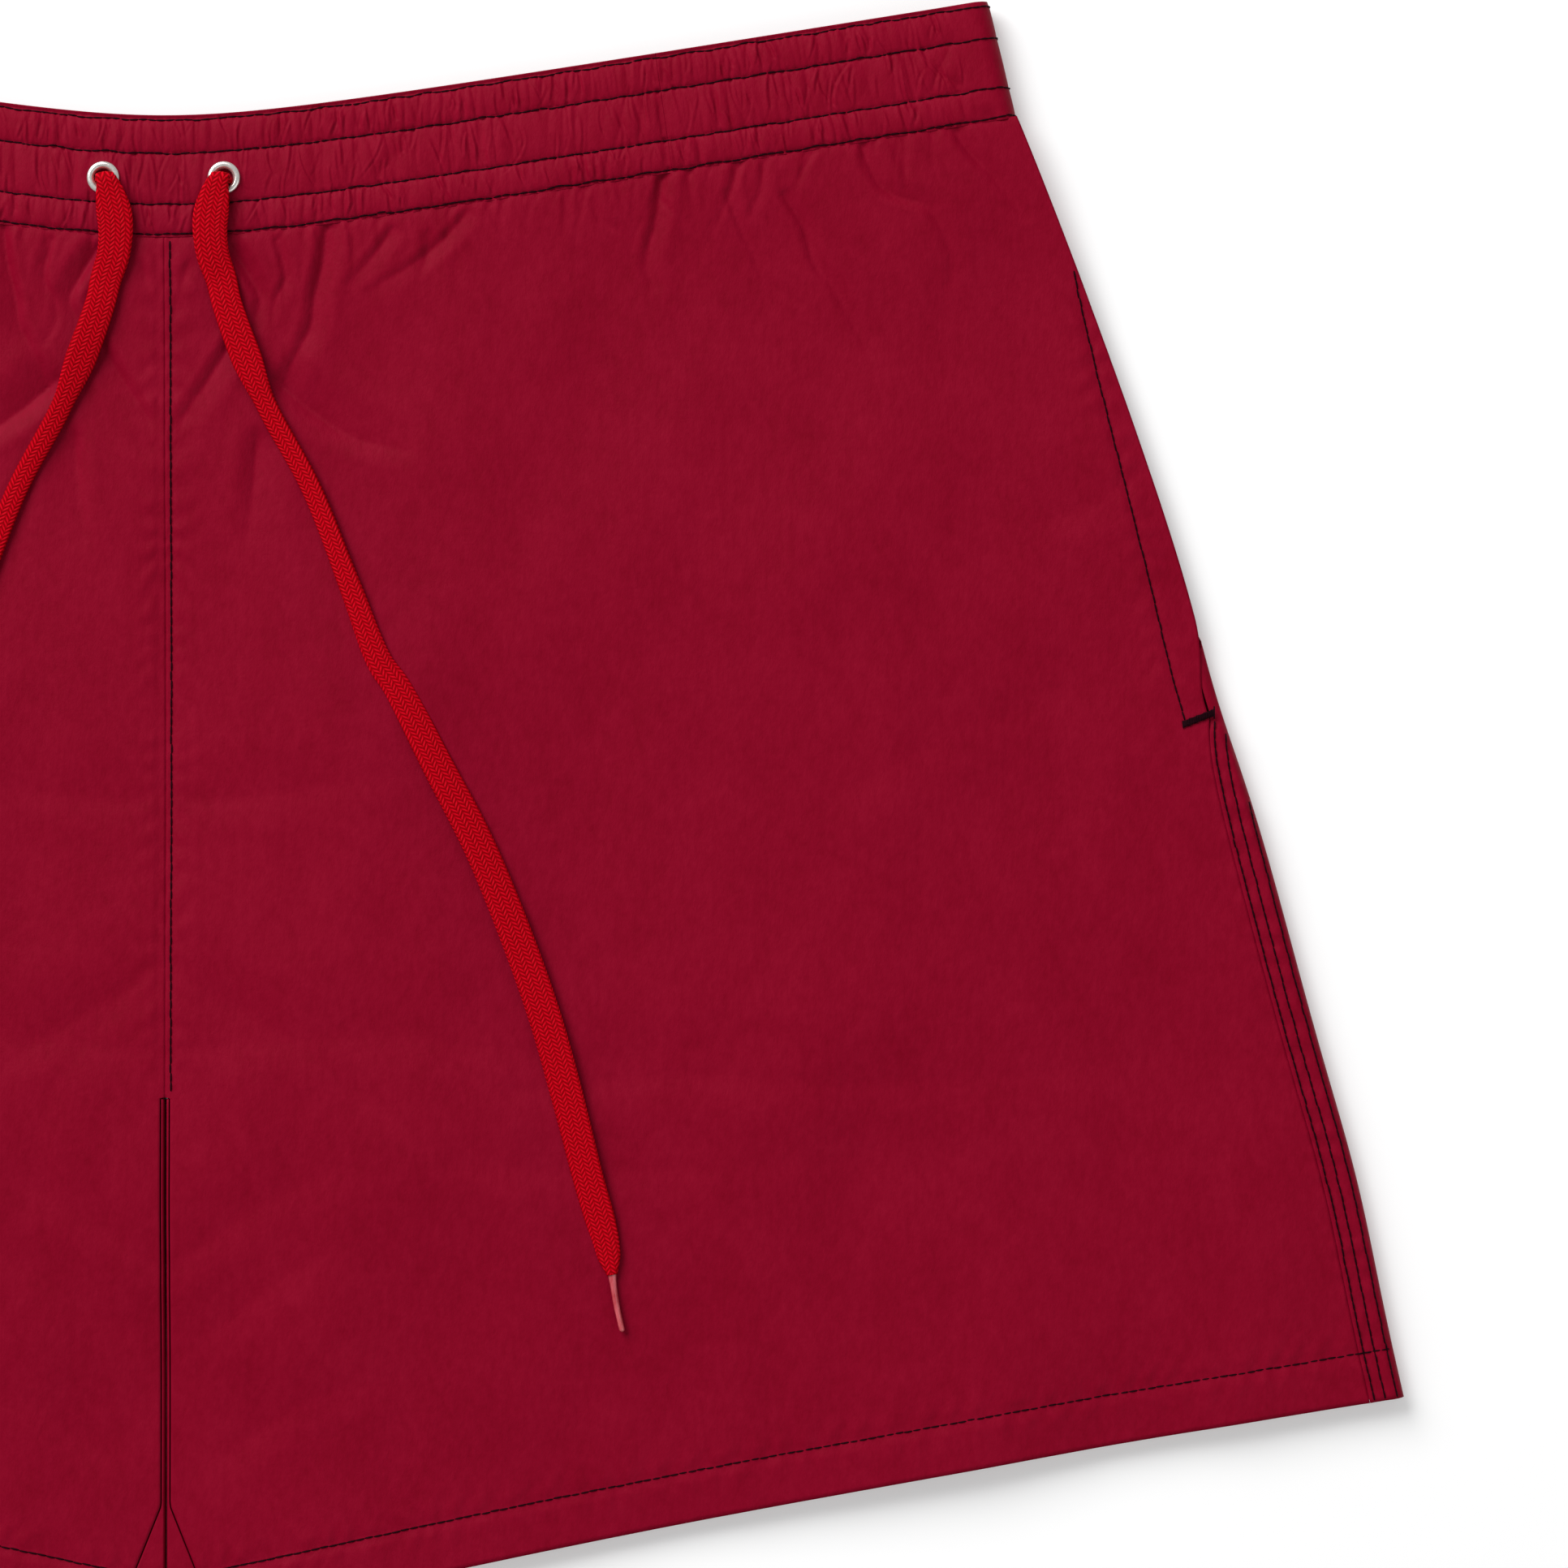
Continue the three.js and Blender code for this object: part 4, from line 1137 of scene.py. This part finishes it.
def panel_rows(label, side):
    v = np.linspace(POCKET_TOP + NOTCH, POCKET_END - NOTCH / 2, 400)
    line = panel_line(side, side_line(v) - pocket_inset(v), v)
    stitch_row(f"pocket_thread_{label}", line, f"pocket_stitch_{label}")

    for i, offset in enumerate(SIDE_ROWS):
        v = np.linspace(side_row_start(offset) + 0.002, 0.9985, 500)
        line = panel_line(side, side_row_x(v, offset), v)
        stitch_row(f"side_thread_{i + 1}_{label}", line, f"side_stitch_{i + 1}_{label}")

    x = np.linspace(inner_fold_x, side_line(0.96) - 1.2 * MM, 900)
    y = leg_y(x, np.ones_like(x)) + HEM_DEPTH
    v = np.full_like(x, 0.962)
    for _ in range(6):
        v = v + (leg_y(x, v) - y) / (leg_y(x, v) - leg_y(x, v + 0.01)) * 0.01
    line = panel_line(side, x, v)
    stitch_row(f"hem_thread_{label}", line, f"hem_stitch_{label}")


def centre_row():
    v = np.linspace(0.003, CROTCH - NOTCH, 500)
    line = panel_line(1, np.full_like(v, CENTRE_STITCH), v)
    stitch_row("centre_thread", line, "centre_front_stitch")


def bartack(label, side):
    """Dense zigzag of thread, closed by a few longer stitches at the side seam."""
    v = POCKET_END - NOTCH * 0.4
    middle = side_line(v) - 7.4 * MM
    zig = np.tile([0.5, -0.5], 22) * BARTACK_WIDTH
    end = np.tile([0.5, -0.5], 3) * BARTACK_END
    share = np.append(np.linspace(-0.5, 0.5, zig.size), np.full(end.size, 0.5))
    x = middle + share * BARTACK_LENGTH
    y = float(leg_y(middle, v)) + BARTACK_TILT * (x - middle) + np.append(zig, end)
    top = front_top(x, np.full_like(x, v)).max() + 0.35 * MM
    line = np.stack([x, y, np.full_like(x, top)], -1)
    line = mirror(line) if side < 0 else line
    dense = read_off(line, np.arange(x.size), np.linspace(0, x.size - 1, x.size * 6))
    angle = circle(8)
    across = np.cross(unit(np.gradient(dense, axis=0)), UP)
    radius = 0.23 * MM
    bulge = 0.28 * MM * np.cos(np.pi * ((np.arange(len(dense)) % 12) / 12 - 0.5)) - 0.2 * MM
    high = radius * np.sin(angle) + bulge[:, None]
    rings = rings_round(dense, across, UP, radius * np.cos(angle)[None, :], high)
    obj = tube(f"bartack_thread_{label}", rings[:, ::-1], dark_thread)
    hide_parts(f"pocket_bartack_{label}")


# ---- Eyelets and hidden pieces ----


def eyelet(label, side):
    """Rolled rim over the cloth, a soft inner lip, and the barrel down through it."""
    profile = [
        (4.80, 0.02), (4.80, 0.30), (4.66, 0.56), (4.40, 0.74), (4.00, 0.84), (3.60, 0.84),
        (3.24, 0.74), (2.96, 0.52), (2.78, 0.24), (2.70, -0.10), (2.65, -0.30), (2.65, -1.10),
        (2.98, -1.15), (3.00, -0.20), (3.30, -0.02), (4.20, -0.04)]
    count = 96
    angle = circle(count)
    r, h = np.array(profile).T * MM
    place = ring_at(side * EYELET_X, EYELET_DEPTH)
    x, y, z = map(float, ring_point(place, EYELET_DEPTH, BAND_THICK))
    rings = np.stack([
        x + np.cos(angle)[:, None] * r, y + np.sin(angle)[:, None] * r,
        z + GAP / 2 + np.broadcast_to(h, (count, len(h)))], -1)
    faces = []
    k = len(profile)
    for i in range(count):
        j = (i + 1) % count
        for m in range(k):
            n = (m + 1) % k
            faces.append([i * k + m, j * k + m, j * k + n, i * k + n])
    obj = make_object(f"eyelet_ring_{label}", rings.reshape(-1, 3).tolist(), faces, bright_nickel)
    smoothing = obj.modifiers.new("smooth", "SUBSURF")
    smoothing.levels = 1
    smoothing.render_levels = 1
    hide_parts(f"eyelet_{label}")


def pocket_bag(label, side):
    """A flat pouch of lining between the two layers, open along the pocket mouth."""
    low = CLOTH + GAP
    high = FRONT_LOW - 2.6 * MM
    v = np.linspace(BAG_TOP, BAG_END, 90)[:, None]
    q = np.linspace(0, 1, 120)[None, :]
    edge = side_fold_x(v) - np.where(v > POCKET_END - NOTCH, side_wrap(v), HIP_FLAP) - GAP
    reach = BAG_REACH * np.sqrt(1 - np.clip((v - 0.5) / (BAG_END - 0.5) * 0.8, 0, 1) ** 2)
    across = np.clip(np.abs(q - 0.5) * 2.2 - 0.1, 0, 1)
    lattices = []
    for w in (0, PLY):
        x = edge - (reach - w) * (1 - across)
        arc = np.clip((0.5 - q) / 0.05, -1, 1)
        z = (low + high) / 2 - np.sin(arc * np.pi / 2) * ((high - low) / 2 - w)
        x, z, vv = np.broadcast_arrays(x, z, v)
        ripple = 0.25 * MM * slack(x * 1.3, vv * 0.4) * np.cos(arc * np.pi / 2) ** 2
        lattices.append(np.stack([x, leg_y(x, vv), z + ripple], -1))
    face, back = lattices
    obj = place_shell(f"pocket_pouch_{label}", face, back, side, lining_fabric)
    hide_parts(f"pocket_bag_{label}")


def hidden_pieces():
    """Pieces inside the casing keep their CAD shape and get their own material."""
    looks = {"elastic_upper": ribbed_elastic, "elastic_lower": ribbed_elastic,
             "drawcord_held": red_braid, "eyelet_washer_left": bright_nickel,
             "eyelet_washer_right": bright_nickel}
    for name, look in looks.items():
        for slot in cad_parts[name].material_slots:
            slot.material = look


for label, side in SIDES:
    front_panel(label, side)
    back_panel(label, side)
    pocket_bag(label, side)
    panel_rows(label, side)
    bartack(label, side)
    eyelet(label, side)
waistband()
waist_rows()
centre_row()
hidden_pieces()
